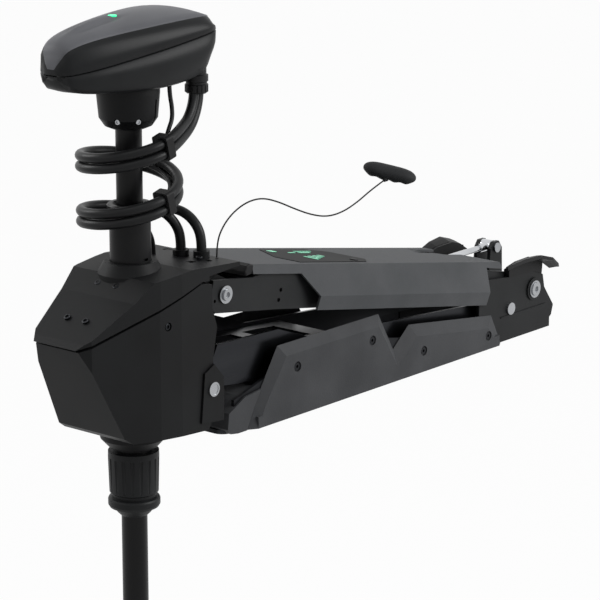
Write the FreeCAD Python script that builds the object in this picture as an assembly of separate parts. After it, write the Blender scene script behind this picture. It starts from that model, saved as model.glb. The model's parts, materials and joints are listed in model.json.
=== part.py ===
"""Bow-mount trolling motor, deployed: base, folding arm, steering housing, shaft, head and drive pod.

Millimetres, +Z up.  The origin is the centre of the deck plate's underside.
-X points to the bow, where the shaft stands, and +X to the stern, where the arm is hinged.
"""
import FreeCAD, Part
import os
from math import atan2, cos, degrees, hypot, pi, radians, sin, sqrt, tan

V = FreeCAD.Vector
X_AXIS = V(1, 0, 0)
Y_AXIS = V(0, 1, 0)
Z_AXIS = V(0, 0, 1)

# ---- driving dimensions -------------------------------------------------
SHAFT_D = 30.0          # outside of the composite shaft
SHAFT_BORE = 22.0
SHAFT_X = -432.0        # the steering axis
HEAD_BOTTOM_Z = 419.0
POD_Z = -1028.0         # the pod's axis
HINGE_X = 262.0         # rear hinge of the arm
HINGE_Z = 58.0
PIVOT_X = -340.0        # front pivot of the arm
PIVOT_Z = 167.5
LINK_REAR_X = 210.0     # lower link's pivot on the base
LINK_REAR_Z = 41.8
LINK_FRONT_X = -370.0   # lower link's pivot on the housing
LINK_FRONT_Z = 63.0
COVER_HALF = 75.0       # half width of the base and arm covers
ARM_TOP_HALF = 62.0

BASE_FRONT_X = -352.0
BASE_REAR_X = 302.0
WALL = 3.0
FIT = 0.05              # radial clearance of a running fit
GAP = 0.4               # air between bodies that move past each other
BOLT_D = 12.0
DECK_HOLE_D = 7.0
DECK_HOLE_X = 230.0     # half spacing of the deck bolts along X
DECK_HOLE_Y = 38.0      # half spacing across
CABLE_D = 11.6
THIN_D = 5.0
PULL_D = 1.9
PROP_R = 124.0

ARM_ANGLE = degrees(atan2(PIVOT_Z - HINGE_Z, HINGE_X - PIVOT_X))
ARM_LENGTH = hypot(PIVOT_Z - HINGE_Z, HINGE_X - PIVOT_X)


# ---- helpers ------------------------------------------------------------
def box(x0, x1, y0, y1, z0, z1):
    return Part.makeBox(x1 - x0, y1 - y0, z1 - z0, V(x0, y0, z0))


def rod(radius, length, at, along):
    return Part.makeCylinder(radius, length, V(*at), along)


def pipe(outer, inner, length, at, along):
    return rod(outer, length, at, along).cut(rod(inner, length, at, along))


def pin_y(radius, x, z, y0, y1):
    return rod(radius, y1 - y0, (x, y0, z), Y_AXIS)


def bush_y(outer, inner, x, z, y0, y1):
    return pipe(outer, inner, y1 - y0, (x, y0, z), Y_AXIS)


def wire_of(points):
    return Part.makePolygon(points + [points[0]])


def slab_xz(outline, y0, y1):
    """A plate across Y with an (x, z) outline."""
    face = Part.Face(wire_of([V(x, y0, z) for x, z in outline]))
    return face.extrude(V(0, y1 - y0, 0))


def slab_yz(outline, x0, x1):
    face = Part.Face(wire_of([V(x0, y, z) for y, z in outline]))
    return face.extrude(V(x1 - x0, 0, 0))


def slab_xy(outline, z0, z1):
    face = Part.Face(wire_of([V(x, y, z0) for x, y in outline]))
    return face.extrude(V(0, 0, z1 - z0))


def turned(profile, at, along):
    """A revolve of (radius, height) points about an axis through `at`."""
    shape = Part.Face(wire_of([V(r, 0, h) for r, h in profile])).revolve(V(), Z_AXIS, 360)
    shape.Placement = FreeCAD.Placement(V(*at), FreeCAD.Rotation(Z_AXIS, along))
    return shape


def loft(rings):
    """A solid through flat rings of points that all have the same count."""
    return Part.makeLoft([wire_of(ring) for ring in rings], True, True)


def rounded(shape, radius, keep):
    """Fillets the edges for which keep(middle, edge) is true."""
    edges = [e for e in shape.Edges if keep(e.CenterOfMass, e)]
    return shape.makeFillet(radius, edges)


def mirrored(shape):
    return shape.mirror(V(), Y_AXIS)


def joined(shapes):
    first = shapes[0]
    return first.fuse(shapes[1:]).removeSplitter() if len(shapes) > 1 else first


def group(shapes):
    """Separate pieces of one node."""
    return Part.makeCompound(shapes)


def arm_place(shape):
    """Moves a shape drawn with the hinge at the origin and the arm along -X to the arm."""
    out = shape.copy()
    out.rotate(V(), Y_AXIS, ARM_ANGLE)
    out.translate(V(HINGE_X, 0, HINGE_Z))
    return out


def arm_z(x, v):
    """Height at x of the line that runs v above the arm's pivot line."""
    return HINGE_Z + (HINGE_X - x) * tan(radians(ARM_ANGLE)) + v / cos(radians(ARM_ANGLE))


def screw(at, along, head_r=4.4, head_h=3.0, shank_r=2.4, shank=9.0, hex_af=2.2):
    """A cap screw: the head stands from `at` along the axis and the shank runs back."""
    at = V(*at)
    head = Part.makeCylinder(head_r, head_h, at, along)
    body = Part.makeCylinder(shank_r, shank, at - along * shank, along)
    socket = [V(hex_af * cos(k * pi / 3), hex_af * sin(k * pi / 3), 0) for k in range(6)]
    cut = Part.Face(wire_of(socket)).extrude(V(0, 0, head_h))
    cut.Placement = FreeCAD.Placement(at + along * (head_h * 0.4), FreeCAD.Rotation(Z_AXIS, along))
    return head.fuse(body).cut(cut)


def cord_path(points):
    """Straight runs joined by tangent arcs, with the arc radii."""
    points = [V(*p) for p in points]
    edges = []
    radii = []
    last = points[0]
    for before, here, after in zip(points, points[1:], points[2:]):
        a = (before - here).normalize()
        b = (after - here).normalize()
        half_turn = (pi - a.getAngle(b)) / 2
        reach = 0.45 * min((before - here).Length, (after - here).Length)
        radii.append(reach / tan(half_turn))
        start = here + a * reach
        end = here + b * reach
        middle = (a + b).normalize()
        apex = here + middle * (radii[-1] / cos(half_turn) - radii[-1])
        edges.append(Part.makeLine(last, start))
        edges.append(Part.Arc(start, apex, end).toShape())
        last = end
    edges.append(Part.makeLine(last, points[-1]))
    return Part.Wire(edges), radii


def cord(points, diameter, name):
    """A round cord along its route, printed with its smallest radius and volume ratio."""
    path, radii = cord_path(points)
    start = V(*points[0])
    along = V(*points[1]) - start
    ring = Part.Wire(Part.makeCircle(diameter / 2, start, along))
    tube = path.makePipeShell([ring], True, True)
    ratio = tube.Volume / (pi * diameter ** 2 / 4 * path.Length)
    print(f"{name}: {path.Length:.0f} mm, least radius {min(radii):.0f}, volume ratio {ratio:.3f}")
    return tube


# ---- base ---------------------------------------------------------------
DECK_T = 5.0
RAIL_Y = 62.0
RAIL_T = 4.0
SIDE_X0 = -312.0        # bottom front corner of a side cover
SIDE_X1 = 190.0


def deck_plate():
    plate = box(BASE_FRONT_X + 6, BASE_REAR_X - 4, -RAIL_Y + 0.2, RAIL_Y - 0.2, 0, DECK_T)
    plate = rounded(plate, 14, lambda c, e: abs(c.z - DECK_T / 2) < 0.1 and e.Length < DECK_T + 0.1)
    holes = [rod(DECK_HOLE_D / 2, DECK_T, (sx * DECK_HOLE_X, sy * DECK_HOLE_Y, 0), Z_AXIS)
             for sx in (-1, 1) for sy in (-1, 1)]
    windows = [rounded(box(x - 52, x + 52, -24, 24, -1, DECK_T + 1), 12,
                       lambda c, e: abs(c.z - DECK_T / 2) < 0.1 and e.Length < DECK_T + 2.1)
               for x in (-130, 0, 130)]
    return plate.cut(holes + windows)


def base_rail():
    """Left deck rail: an angle with a lip, its top following the arm down to the stern."""
    x0 = BASE_FRONT_X + 20
    x1 = 140.0
    outer = [(x0, 0), (x1, 0), (x1, 30), (60, 34), (-60, 58), (x0 + 80, 62), (x0, 40)]
    web = slab_xz(outer, -RAIL_Y - RAIL_T, -RAIL_Y)
    lip = box(x0 + 90, -60, -RAIL_Y, -RAIL_Y + 5, 54, 57.5)
    slots = [slab_xz([(x, 14), (x + 60, 14), (x + 70, 24), (x + 60, 34), (x, 34), (x - 10, 24)],
                     -RAIL_Y - RAIL_T - 1, -RAIL_Y + 1) for x in (-250, -150, -50)]
    return web.fuse(lip).cut(slots)


def side_outline(inset):
    """Side cover seen square on, from the front foot round over the notch."""
    i = inset
    return [(SIDE_X0 + i, 0), (SIDE_X1 - i, 0), (168 - i * 1.2, 41 - i), (-5 + i * 0.6, 64 - i * 1.2),
            (-36, 39 - i * 1.6), (-66 - i * 0.6, 90 - i), (-256 + i * 0.6, 90 - i), (SIDE_X0 + 12 + i, 24)]


def side_ring(y, inset):
    return [V(x, y, z) for x, z in side_outline(inset)]


def base_side_cover():
    """Left cover: a flat face with a broad chamfer round its top, open towards the rail."""
    face_inset = 13.0
    body = loft([side_ring(-COVER_HALF + 8, 0), side_ring(-COVER_HALF, face_inset)])
    foot = slab_xz([(SIDE_X0 + face_inset, 0), (SIDE_X1 - face_inset, 0),
                    (SIDE_X1 - face_inset, 14), (SIDE_X0 + face_inset, 14)], -COVER_HALF, -COVER_HALF + 8)
    shape = body.fuse(foot)
    wells = []
    for x, z in SIDE_SCREWS:
        wells.append(pin_y(6.2, x, z, -COVER_HALF - 1, -COVER_HALF + 3.5))
        wells.append(pin_y(2.6, x, z, -COVER_HALF - 1, -RAIL_Y))
    return shape.cut(wells)


SIDE_SCREWS = [(-228, 60), (-86, 62), (17, 27), (153, 18)]


def side_screws():
    pieces = []
    for side in (-1, 1):
        for x, z in SIDE_SCREWS:
            pieces.append(screw((x, side * (COVER_HALF - 3.5), z), V(0, side, 0), 4.6, 2.6, 2.4, 4.6))
    return group(pieces)


BRACKET_Y = 66.5
BRACKET_T = 4.5


def rear_bracket():
    """Left hinge bracket, from the deck to above the hinge."""
    outline = [(143, 0), (300, 0), (300, 12), (304, 15), (308, 28), (287, 56), (283, 74), (262, 82),
               (206, 84), (150, 90), (143, 84)]
    plate = slab_xz(outline, -BRACKET_Y, -BRACKET_Y + BRACKET_T)
    foot = box(228, 296, -BRACKET_Y + BRACKET_T, -BRACKET_Y + 26, DECK_T, DECK_T + 4.4)
    boss = pin_y(15, HINGE_X, HINGE_Z, -BRACKET_Y - 2, -BRACKET_Y + BRACKET_T)
    bolt_hole = pin_y(BOLT_D / 2 + FIT, HINGE_X, HINGE_Z, -BRACKET_Y - 3, -BRACKET_Y + 8)
    link_hole = pin_y(5 + FIT, LINK_REAR_X, LINK_REAR_Z, -BRACKET_Y - 3, -BRACKET_Y + 10)
    rib = box(190, 290, -BRACKET_Y - 1, -BRACKET_Y, 32, 33.5)
    return plate.fuse([foot, boss, rib]).cut([bolt_hole, link_hole])


def cradle_wing():
    """Left wing that catches the motor when it is stowed: a flared ramp standing on the bracket."""
    rings = []
    for x, top, flare in ((196, 101, 8), (225, 106, 14), (255, 107, 19), (279, 100, 21), (298, 88, 17)):
        y_in = -BRACKET_Y + BRACKET_T - 14
        rings.append([V(x, y_in + 10, top - 9), V(x, y_in + 10, top - 4.5),
                      V(x, y_in + 10 - flare * 0.5, top - 1.5), V(x, y_in + 12 - flare, top),
                      V(x, y_in + 11 - flare, top - 4.5), V(x, y_in + 9 - flare * 0.5, top - 6)])
    root = slab_xz([(206, 84), (262, 82), (279, 75.53), (281, 94), (255, 102), (225, 101), (206, 97)],
                   -BRACKET_Y - 1, -BRACKET_Y + BRACKET_T - 0.2)
    return loft(rings).fuse(root)


def hinge_bolts():
    pieces = []
    for side in (-1, 1):
        along = V(0, side, 0)
        y = side * (BRACKET_Y + 2.2)
        shank = rod(BOLT_D / 2, 13.8, (HINGE_X, y, HINGE_Z), -along)
        flange = rod(8.6, 3.2, (HINGE_X, y, HINGE_Z), along)
        socket = rod(4.0, 2.4, (HINGE_X, y + side * 0.9, HINGE_Z), along)
        washer = pipe(11.5, 8.8, 1.4, (HINGE_X, y, HINGE_Z), along)
        pieces.append(shank.fuse(flange).cut(socket))
        pieces.append(washer)
    return group(pieces)


def link_rear_pin():
    shank = pin_y(5, LINK_REAR_X, LINK_REAR_Z, -BRACKET_Y + 0.5, BRACKET_Y - 0.5)
    heads = [pin_y(8, LINK_REAR_X, LINK_REAR_Z, -BRACKET_Y - 3, -BRACKET_Y - 0.2),
             pin_y(8, LINK_REAR_X, LINK_REAR_Z, BRACKET_Y + 0.2, BRACKET_Y + 3)]
    necks = [pin_y(5, LINK_REAR_X, LINK_REAR_Z, -BRACKET_Y - 1, -BRACKET_Y + 1),
             pin_y(5, LINK_REAR_X, LINK_REAR_Z, BRACKET_Y - 1, BRACKET_Y + 1)]
    return joined([shank] + heads + necks)


SPRING_Y = 24.0         # the lift-assist spring lies off centre
SPRING_X = 284.0
SPRING_Z = 98.0


def spring_bracket():
    """A fork that stands from the right bracket and holds the lift-assist spring's rod end."""
    outline = [(252, DECK_T + GAP), (296, DECK_T + GAP), (299, 40), (297, 96), (290, 106),
               (278, 106), (272, 98), (268, 60)]
    cheeks = [slab_xz(outline, SPRING_Y + side * 11 - 2.5, SPRING_Y + side * 11 + 2.5)
              for side in (-1, 1)]
    foot = box(252, 296, SPRING_Y - 13.5, SPRING_Y + 13.5, DECK_T + GAP, DECK_T + 5)
    back = box(292, 296.5, SPRING_Y - 10, SPRING_Y + 10, DECK_T + 5, 42)
    hole = pin_y(4 + FIT, SPRING_X, SPRING_Z, SPRING_Y - 20, SPRING_Y + 20)
    return joined(cheeks + [foot, back]).cut(hole)


def spring_pin():
    shank = pin_y(4, SPRING_X, SPRING_Z, SPRING_Y - 14, SPRING_Y + 14)
    head = pin_y(6.5, SPRING_X, SPRING_Z, SPRING_Y - 16.5, SPRING_Y - 13.8)
    clip = pin_y(5.6, SPRING_X, SPRING_Z, SPRING_Y + 13.8, SPRING_Y + 15)
    return joined([shank, head, clip])


def front_rest():
    """Black moulded nose of the base, curving up between the side covers."""
    outline = [(-346, 8), (-341, 2), (-328, 0), (-262, 0), (-262, 40), (-275, 46), (-316, 41), (-344, 27)]
    body = slab_xz(outline, -RAIL_Y - RAIL_T - 3, RAIL_Y + RAIL_T + 3)
    inside = slab_xz([(-336, DECK_T + 1), (-200, DECK_T + 1), (-200, 50), (-268, 52), (-320, 30)],
                     -RAIL_Y + 8, RAIL_Y - 8)
    plate = box(-400, -200, -RAIL_Y - 0.3, RAIL_Y + 0.3, -1, DECK_T + 0.3)
    rails = [box(BASE_FRONT_X + 19.6, -200, side * (RAIL_Y + RAIL_T / 2) - RAIL_T / 2 - 0.3,
                 side * (RAIL_Y + RAIL_T / 2) + RAIL_T / 2 + 0.3, -1, 70) for side in (-1, 1)]
    covers = [slab_xz(side_outline(-0.5), -90, -RAIL_Y - RAIL_T - 0.1),
              slab_xz(side_outline(-0.5), RAIL_Y + RAIL_T + 0.1, 90)]
    hook_slot = box(-360, -275, -24.4, 24.4, DECK_T + 0.3, 60)
    return body.cut([inside, plate, hook_slot] + rails + covers)


# ---- arm ----------------------------------------------------------------
COVER_REAR_U = 74.0     # distances from the hinge along the arm
COVER_FRONT_U = 572.0
SKIRT_FRONT_U = 452.0
COVER_TOP_V = 35.0
COVER_EDGE_V = -2.0
COVER_LOW_V = -20.0
PLATE_Y = 60.0
PLATE_T = 5.0


def arm_section(inset, u):
    """Half-hexagon section of the arm cover at a distance u from the hinge."""
    i = inset
    points = [(COVER_HALF - 4 - i, COVER_LOW_V), (COVER_HALF - i, COVER_EDGE_V),
              (ARM_TOP_HALF - i * 0.8, COVER_TOP_V - i)]
    ring = [V(-u, -y, v) for y, v in points] + [V(-u, y, v) for y, v in reversed(points)]
    return ring


def arm_cover():
    """Long cover: flat top, sloping cheeks and a short skirt, cut back at both ends."""
    outer = loft([arm_section(0, COVER_REAR_U), arm_section(0, COVER_FRONT_U)])
    inner = loft([arm_section(WALL, COVER_REAR_U - 5), arm_section(WALL, COVER_FRONT_U - 16)])
    below = box(-COVER_FRONT_U - 20, -COVER_REAR_U + 20, -90, 90, -60, COVER_LOW_V + 0.5)
    shell = outer.cut(inner)
    top_v = COVER_TOP_V
    front_cut = slab_xz([(-SKIRT_FRONT_U, -40), (-SKIRT_FRONT_U - 2, COVER_LOW_V + 18),
                         (-SKIRT_FRONT_U - 32, top_v - 11), (-COVER_FRONT_U - 20, top_v - 11),
                         (-COVER_FRONT_U - 20, -40)], -90, 90)
    rear_cut = slab_xz([(-COVER_REAR_U + 20, top_v - 9), (-COVER_REAR_U - 34, top_v - 7),
                        (-COVER_REAR_U - 34, -60), (-COVER_REAR_U + 20, -60)], -90, 90)
    rear_slope = slab_xz([(-COVER_REAR_U + 1, top_v + 9), (-COVER_REAR_U - 5, top_v + 9),
                          (-COVER_REAR_U + 1, top_v - 12)], -90, 90)
    notch = slab_xy([(-COVER_REAR_U + 10, 2), (-COVER_REAR_U + 10, 46), (-COVER_REAR_U - 60, 46),
                     (-COVER_REAR_U - 34, 2)], top_v - 20, top_v + 10)
    rod_slot = box(-144, -COVER_REAR_U + 30, SPRING_Y - 6, SPRING_Y + 6, top_v - 12, top_v + 8)
    window = slab_xy(display_outline(-0.4), top_v - 1.6, top_v + 5)
    stem_hole = rod(5.6, 9, (-352, BUTTON_Y, top_v - 5), Z_AXIS)
    shell = shell.cut([below, front_cut, rear_cut, rear_slope, notch, rod_slot, window, stem_hole])
    ribs = [box(-u - 1.2, -u + 1.2, -56, 56, top_v - 9, top_v - WALL + 0.5)
            for u in (250, 366, 440, 540)]
    spring_room = box(-290, -138, SPRING_Y - 8.5, SPRING_Y + 8.5, top_v - 12, top_v - 1.6)
    shell = shell.fuse(ribs).cut(spring_room)
    bosses = [rod(4, 7, (-u, side * 47, top_v - 9), Z_AXIS) for u in (165, 300, 490) for side in (-1, 1)]
    return arm_place(shell.fuse(bosses))


def display_outline(inset):
    i = inset
    near = -52 + i
    far = 48 - i
    return [(-472 + i, near), (-345 - i, near), (-322 - i, near + 20), (-322 - i, far - 20),
            (-345 - i, far), (-430 + i, far), (-472 + i, near + 40)]


def display_panel():
    return arm_place(slab_xy(display_outline(0), COVER_TOP_V - 1.6 + 0.02, COVER_TOP_V + 0.6).cut(
        rod(5.6, 6, (-352, BUTTON_Y, COVER_TOP_V - 3), Z_AXIS)))


BUTTON_Y = -38.0


def power_button():
    """Round button in the corner of the display."""
    cap = rod(5.2, 2.2, (-352, BUTTON_Y, COVER_TOP_V - 0.6), Z_AXIS)
    stem = rod(2.4, 8.4, (-352, BUTTON_Y, COVER_TOP_V - 9), Z_AXIS)
    return arm_place(rounded(cap, 0.7, lambda c, e: c.z > COVER_TOP_V + 1.5).fuse(stem))


def display_board():
    board = box(-462, -338, -46, 44, COVER_TOP_V - 14.6, COVER_TOP_V - 13)
    switch = box(-357, -347, BUTTON_Y - 5, BUTTON_Y + 5, COVER_TOP_V - 13, COVER_TOP_V - 10.8)
    chips = [box(-x - 12, -x, y, y + 12, COVER_TOP_V - 13, COVER_TOP_V - 11.2)
             for x in (372, 402, 432) for y in (-20, 12)]
    posts = [rod(2.2, 3.8, (-x, y, COVER_TOP_V - 13), Z_AXIS) for x in (352, 456) for y in (-2, 38)]
    return arm_place(joined([board, switch] + chips + posts))


def arm_plate():
    """Left side plate of the arm, from the rear hinge to the front pivot."""
    length = ARM_LENGTH
    outline = [(18, -14), (18, 12), (6, 19), (-60, 22), (-COVER_REAR_U - 60, 25), (-length + 70, 25),
               (-length + 45, 19), (-length - 22, 16), (-length - 24, -14), (-length - 12, -22), (-length + 96, -19),
               (-60, -16)]
    plate = slab_xz(outline, -PLATE_Y, -PLATE_Y + PLATE_T)
    rear_boss = pin_y(13, 0, 0, -PLATE_Y - 1.2, -PLATE_Y + PLATE_T)
    front_boss = pin_y(13, -length, 0, -PLATE_Y + PLATE_T, -PLATE_Y + 9)
    windows = [slab_xz([(-u, -9), (-u, 12), (-u - 10, 17), (-u - 54, 17), (-u - 64, 12),
                        (-u - 64, -9), (-u - 54, -13), (-u - 10, -13)], -PLATE_Y - 1, -PLATE_Y + 6)
               for u in (190, 280, 370)]
    holes = [pin_y(8, 0, 0, -90, 0), pin_y(8, -length, 0, -90, 0)]
    small = [pin_y(2.6, -length + 100, 4, -90, 0), pin_y(2.6, -length + 98, -8, -90, 0),
             pin_y(2.0, -length - 16, -8, -90, 0)]
    return arm_place(plate.fuse([rear_boss, front_boss]).cut(windows + holes + small))


def arm_ties():
    """Cross tubes that space the arm's two plates, with their screws."""
    pieces = []
    for u, v in ((480, 6), (560, 8)):
        pieces.append(bush_y(7, 3.4, -u, v, -PLATE_Y + PLATE_T + 0.05, PLATE_Y - PLATE_T - 0.05))
    return arm_place(group(pieces))


def arm_bushes():
    """Flanged bushes pressed into both ends of both plates."""
    pieces = []
    for side in (-1, 1):
        low, high = sorted((side * (PLATE_Y + 1.2), side * (PLATE_Y - PLATE_T)))
        pieces.append(bush_y(8, BOLT_D / 2 + FIT, 0, 0, low, high))
        low, high = sorted((side * PLATE_Y, side * (PLATE_Y - 10.5)))
        sleeve = bush_y(8, BOLT_D / 2, -ARM_LENGTH, 0, low, high)
        low, high = sorted((side * (PLATE_Y - 9), side * (PLATE_Y - 10.5)))
        pieces.append(sleeve.fuse(bush_y(11, BOLT_D / 2, -ARM_LENGTH, 0, low, high)))
    return arm_place(group(pieces))


def arm_end_rubber():
    """Soft end piece where the arm's top meets the housing."""
    top = COVER_TOP_V
    ring = slab_xz([(-COVER_FRONT_U - 0.1, top - 11), (-COVER_FRONT_U - 0.1, top - 0.2),
                    (-COVER_FRONT_U - 6, top + 0.6), (-COVER_FRONT_U - 11, top - 2),
                    (-COVER_FRONT_U - 13, top - 9), (-COVER_FRONT_U - 10, top - 14)], -64, 64)
    return arm_place(rounded(ring, 2.0, lambda c, e: abs(abs(c.y) - 64) < 0.1 and c.x < -COVER_FRONT_U - 3))


STRIKER_X = -340.0
STRIKER_Z = 40.0


def latch_striker():
    """Cross bar in the base's nose, which the latch hook catches from below."""
    bar = pin_y(4, STRIKER_X, STRIKER_Z, -24, 24)
    outline = [(STRIKER_X - 7, STRIKER_Z), (STRIKER_X - 5, STRIKER_Z + 6), (STRIKER_X + 5, STRIKER_Z + 7),
               (STRIKER_X + 30, STRIKER_Z - 6), (STRIKER_X + 52, DECK_T), (STRIKER_X + 12, DECK_T)]
    return joined([bar] + [slab_xz(outline, side * 16 - 3, side * 16 + 3) for side in (-1, 1)])


# ---- lower link ---------------------------------------------------------
LINK_ANGLE = degrees(atan2(LINK_FRONT_Z - LINK_REAR_Z, LINK_REAR_X - LINK_FRONT_X))
LINK_LENGTH = hypot(LINK_FRONT_Z - LINK_REAR_Z, LINK_REAR_X - LINK_FRONT_X)
LINK_Y = 52.0


def link_place(shape):
    out = shape.copy()
    out.rotate(V(), Y_AXIS, LINK_ANGLE)
    out.translate(V(LINK_REAR_X, 0, LINK_REAR_Z))
    return out


def lower_link():
    """Aluminium channel: two cheeks and a web, its front end open past the last window."""
    length = LINK_LENGTH
    outline = [(12, -11), (12, 11), (-90, 14), (-length + 190, 26), (-length + 130, 46),
               (-length + 22, 46), (-length + 14, 30), (-length + 22, -4), (-length + 70, -8)]
    cheeks = [slab_xz(outline, side * LINK_Y - 2, side * LINK_Y + 2) for side in (-1, 1)]
    web = slab_xz([(-330, 16), (-330, 19), (-length + 190, 22), (-length + 60, 26), (-length + 60, 23),
                   (-length + 190, 19)], -LINK_Y, LINK_Y)
    bosses = [pin_y(8, 0, 0, side * (LINK_Y + 3) - 5, side * (LINK_Y + 3) + 5) for side in (-1, 1)]
    bore = pin_y(5 + FIT, 0, 0, -80, 80)
    slots = [slab_xy([(-u, -30), (-u, 30), (-u - 60, 30), (-u - 60, -30)], -5, 40) for u in (360, 440)]
    return link_place(joined(cheeks + [web] + bosses).cut([bore] + slots))


# ---- lift-assist spring -------------------------------------------------
SPRING_BODY_X = SPRING_X - 165      # stern end of the cylinder
SPRING_BODY = 100.0
SPRING_R = 6.5


def spring_rod():
    bar = rod(4.0, 177, (SPRING_X - 185, SPRING_Y, SPRING_Z), X_AXIS)
    eye = pin_y(8.4, SPRING_X, SPRING_Z, SPRING_Y - 8, SPRING_Y + 8)
    neck = rod(6.0, 16, (SPRING_X - 22, SPRING_Y, SPRING_Z), X_AXIS)
    return joined([bar, eye, neck]).cut(pin_y(4 + FIT, SPRING_X, SPRING_Z, 0, 60))


def spring_cylinder():
    x0 = SPRING_BODY_X - SPRING_BODY
    tube = rod(SPRING_R, SPRING_BODY, (x0, SPRING_Y, SPRING_Z), X_AXIS)
    bore = rod(4.0 + FIT, SPRING_BODY + 5, (x0 + 6, SPRING_Y, SPRING_Z), X_AXIS)
    tail = rod(4, 12, (x0 - 12, SPRING_Y, SPRING_Z), X_AXIS)
    eye = pin_y(SPRING_R, x0 - 16, SPRING_Z, SPRING_Y - 5, SPRING_Y + 5)
    eye = eye.cut(pin_y(3, x0 - 16, SPRING_Z, SPRING_Y - 6, SPRING_Y + 6))
    return joined([tube, tail.cut(pin_y(5, x0 - 16, SPRING_Z, 0, 60)), eye]).cut(bore)


# ---- steering housing ---------------------------------------------------
SLEEVE_R = 23.5
BEARING_R = 31.0
HOUSING_HALF = 66.0
LUG_HALF = 49.0


def plan_outline(inset):
    """Housing seen from above, narrow at the bow."""
    i = inset
    near = [(-558 + i, -28 + i), (-540 + i, -42 + i), (-452, -63 + i), (-420, -HOUSING_HALF + i),
            (-300, -HOUSING_HALF + i)]
    return near + [(x, -y) for x, y in reversed(near)]


def housing_profile(inset):
    i = inset
    return [(-552 + i, 138 - i), (-386, 189 - i), (-357 - i, 184 - i), (-357 - i, 150), (-369 - i, 90),
            (-369 - i, 24), (-376 - i, 15 + i), (-488 + i, 22 + i), (-500 + i, 30 + i)]


def housing_shell():
    """Lower half of the steering housing, open on top, with the arm lug and bearing seats."""
    block = slab_xz(housing_profile(0), -80, 80).common(slab_xy(plan_outline(0), -20, 240))
    cavity = slab_xz(housing_profile(4), -80, 80).common(slab_xy(plan_outline(4), -20, 240))
    open_top = slab_xz([(-546, 137), (-386, 184), (-364, 180), (-364, 200), (-560, 200)], -80, 80)
    open_top = open_top.common(slab_xy(plan_outline(4), -20, 240))
    tub = block.cut([cavity, open_top])
    floor_seat = rod(BEARING_R + 5, 20, (SHAFT_X, 0, 16), Z_AXIS)
    throat = turned([(0, -3), (28, -3), (38, 8), (40, 22), (0, 22)], (SHAFT_X, 0, 0), Z_AXIS)
    arm_lug = slab_xz([(-400, 128), (-344, 144), (-326, 152), (-318, 166), (-322, 180), (-340, 189),
                       (-400, 178)], -LUG_HALF, LUG_HALF)
    arm_gap = slab_xz([(-390, 90), (-330, 130), (-300, 200), (-390, 172)], -LUG_HALF + 8, LUG_HALF - 8)
    arm_lug = arm_lug.cut(rod(38.5, 60, (SHAFT_X, 0, 140), Z_AXIS))
    strips = [slab_xz([(-390, 26), (-352, 22), (-352, 74), (-368, 92), (-384, 84)],
                      side * 65 - 3.5, side * 65 + 3.5) for side in (-1, 1)]
    shape = joined([tub, floor_seat, throat, arm_lug] + strips + latch_cheeks())
    bore = rod(SLEEVE_R + GAP, 300, (SHAFT_X, 0, -40), Z_AXIS)
    seat = rod(BEARING_R, 13, (SHAFT_X, 0, 24), Z_AXIS)
    seal = rod(28, 8, (SHAFT_X, 0, 0), Z_AXIS)
    clear = [slab_xz([(-350, 100), (-330, 120), (-330, 230), (-368, 230), (-368, 158), (-362, 140)],
                     side * 61 - 8, side * 61 + 8) for side in (-1, 1)]
    pivot = pin_y(BOLT_D / 2 + FIT, PIVOT_X, PIVOT_Z, -80, 80)
    link_pins = pin_y(6, LINK_FRONT_X, LINK_FRONT_Z, -80, 80)
    hook_pin = pin_y(3 + FIT, HOOK_X, HOOK_Z, -20, 20)
    wells = [pin_y(5, -440, 150, side * 65 - 4, side * 65 + 4) for side in (-1, 1)]
    hook_slot = box(-392, -360, -7.5, 7.5, 12, 76).cut(rod(38, 90, (SHAFT_X, 0, 0), Z_AXIS))
    return shape.cut([bore, seat, seal, arm_gap, pivot, link_pins, hook_slot, hook_pin] + clear + wells)


HOOK_X = -382.0
HOOK_Z = 60.0


def cover_profile(inset):
    i = inset
    return [(-556 + i, 141), (-548 + i, 147 - i), (-486, 184 - i), (-460, 204 - i), (-404, 209 - i),
            (-322 - i, 204 - i), (-319 - i, 188), (-326, 186.5), (-386, 192)]


def housing_cover():
    """Top cover: a sloping wedge with a raised collar round the steering tube."""
    block = slab_xz(cover_profile(0), -80, 80).common(slab_xy(plan_outline(-1.5), 100, 260))
    under = slab_xz(cover_profile(WALL) + [], -80, 80).common(slab_xy(plan_outline(WALL), 100, 260))
    low = slab_xz([(-560, 139.5), (-386, 191.9), (-326, 187), (-326, 180), (-560, 130)], -80, 80)
    shell = block.cut([under, low])
    boss = turned([(0, 176), (38, 176), (38, 203), (30, 216), (0, 216)], (SHAFT_X, 0, 0), Z_AXIS)
    pads = [box(x, x + 9, y, y + 9, 204, 210.2) for x, y in ((-352, -46), (-372, -38), (-338, 30))]
    inlets = [rod(9.5, 9, (x, y, 204), Z_AXIS) for x, y in INLETS]
    shell = joined([shell, boss] + inlets)
    bore = rod(SLEEVE_R + GAP, 60, (SHAFT_X, 0, 170), Z_AXIS)
    seat = rod(BEARING_R, 13, (SHAFT_X, 0, 175.9), Z_AXIS)
    holes = [rod(CABLE_D / 2, 30, (x, y, 195), Z_AXIS) for x, y in INLETS]
    thin_hole = rod(THIN_D / 2, 30, (THIN_INLET[0], THIN_INLET[1], 190), Z_AXIS)
    cord_hole = rod(2.2, 30, (CORD_EXIT[0], CORD_EXIT[1], 190), Z_AXIS)
    arm_end = box(-330, -280, -64.6, 64.6, 150, 200.8)
    clear = [slab_xz([(-374, 170), (-374, 196.5), (-300, 200.5), (-300, 170)], side * 58 - 10, side * 58 + 10)
             for side in (-1, 1)]
    return shell.cut([bore, seat, thin_hole, cord_hole, arm_end] + holes + pads + clear)


INLETS = [(-348.0, 0.0), (-338.0, -23.0)]
THIN_INLET = (-366.0, 26.0)
CORD_EXIT = (-328.5, -38.0)


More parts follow.
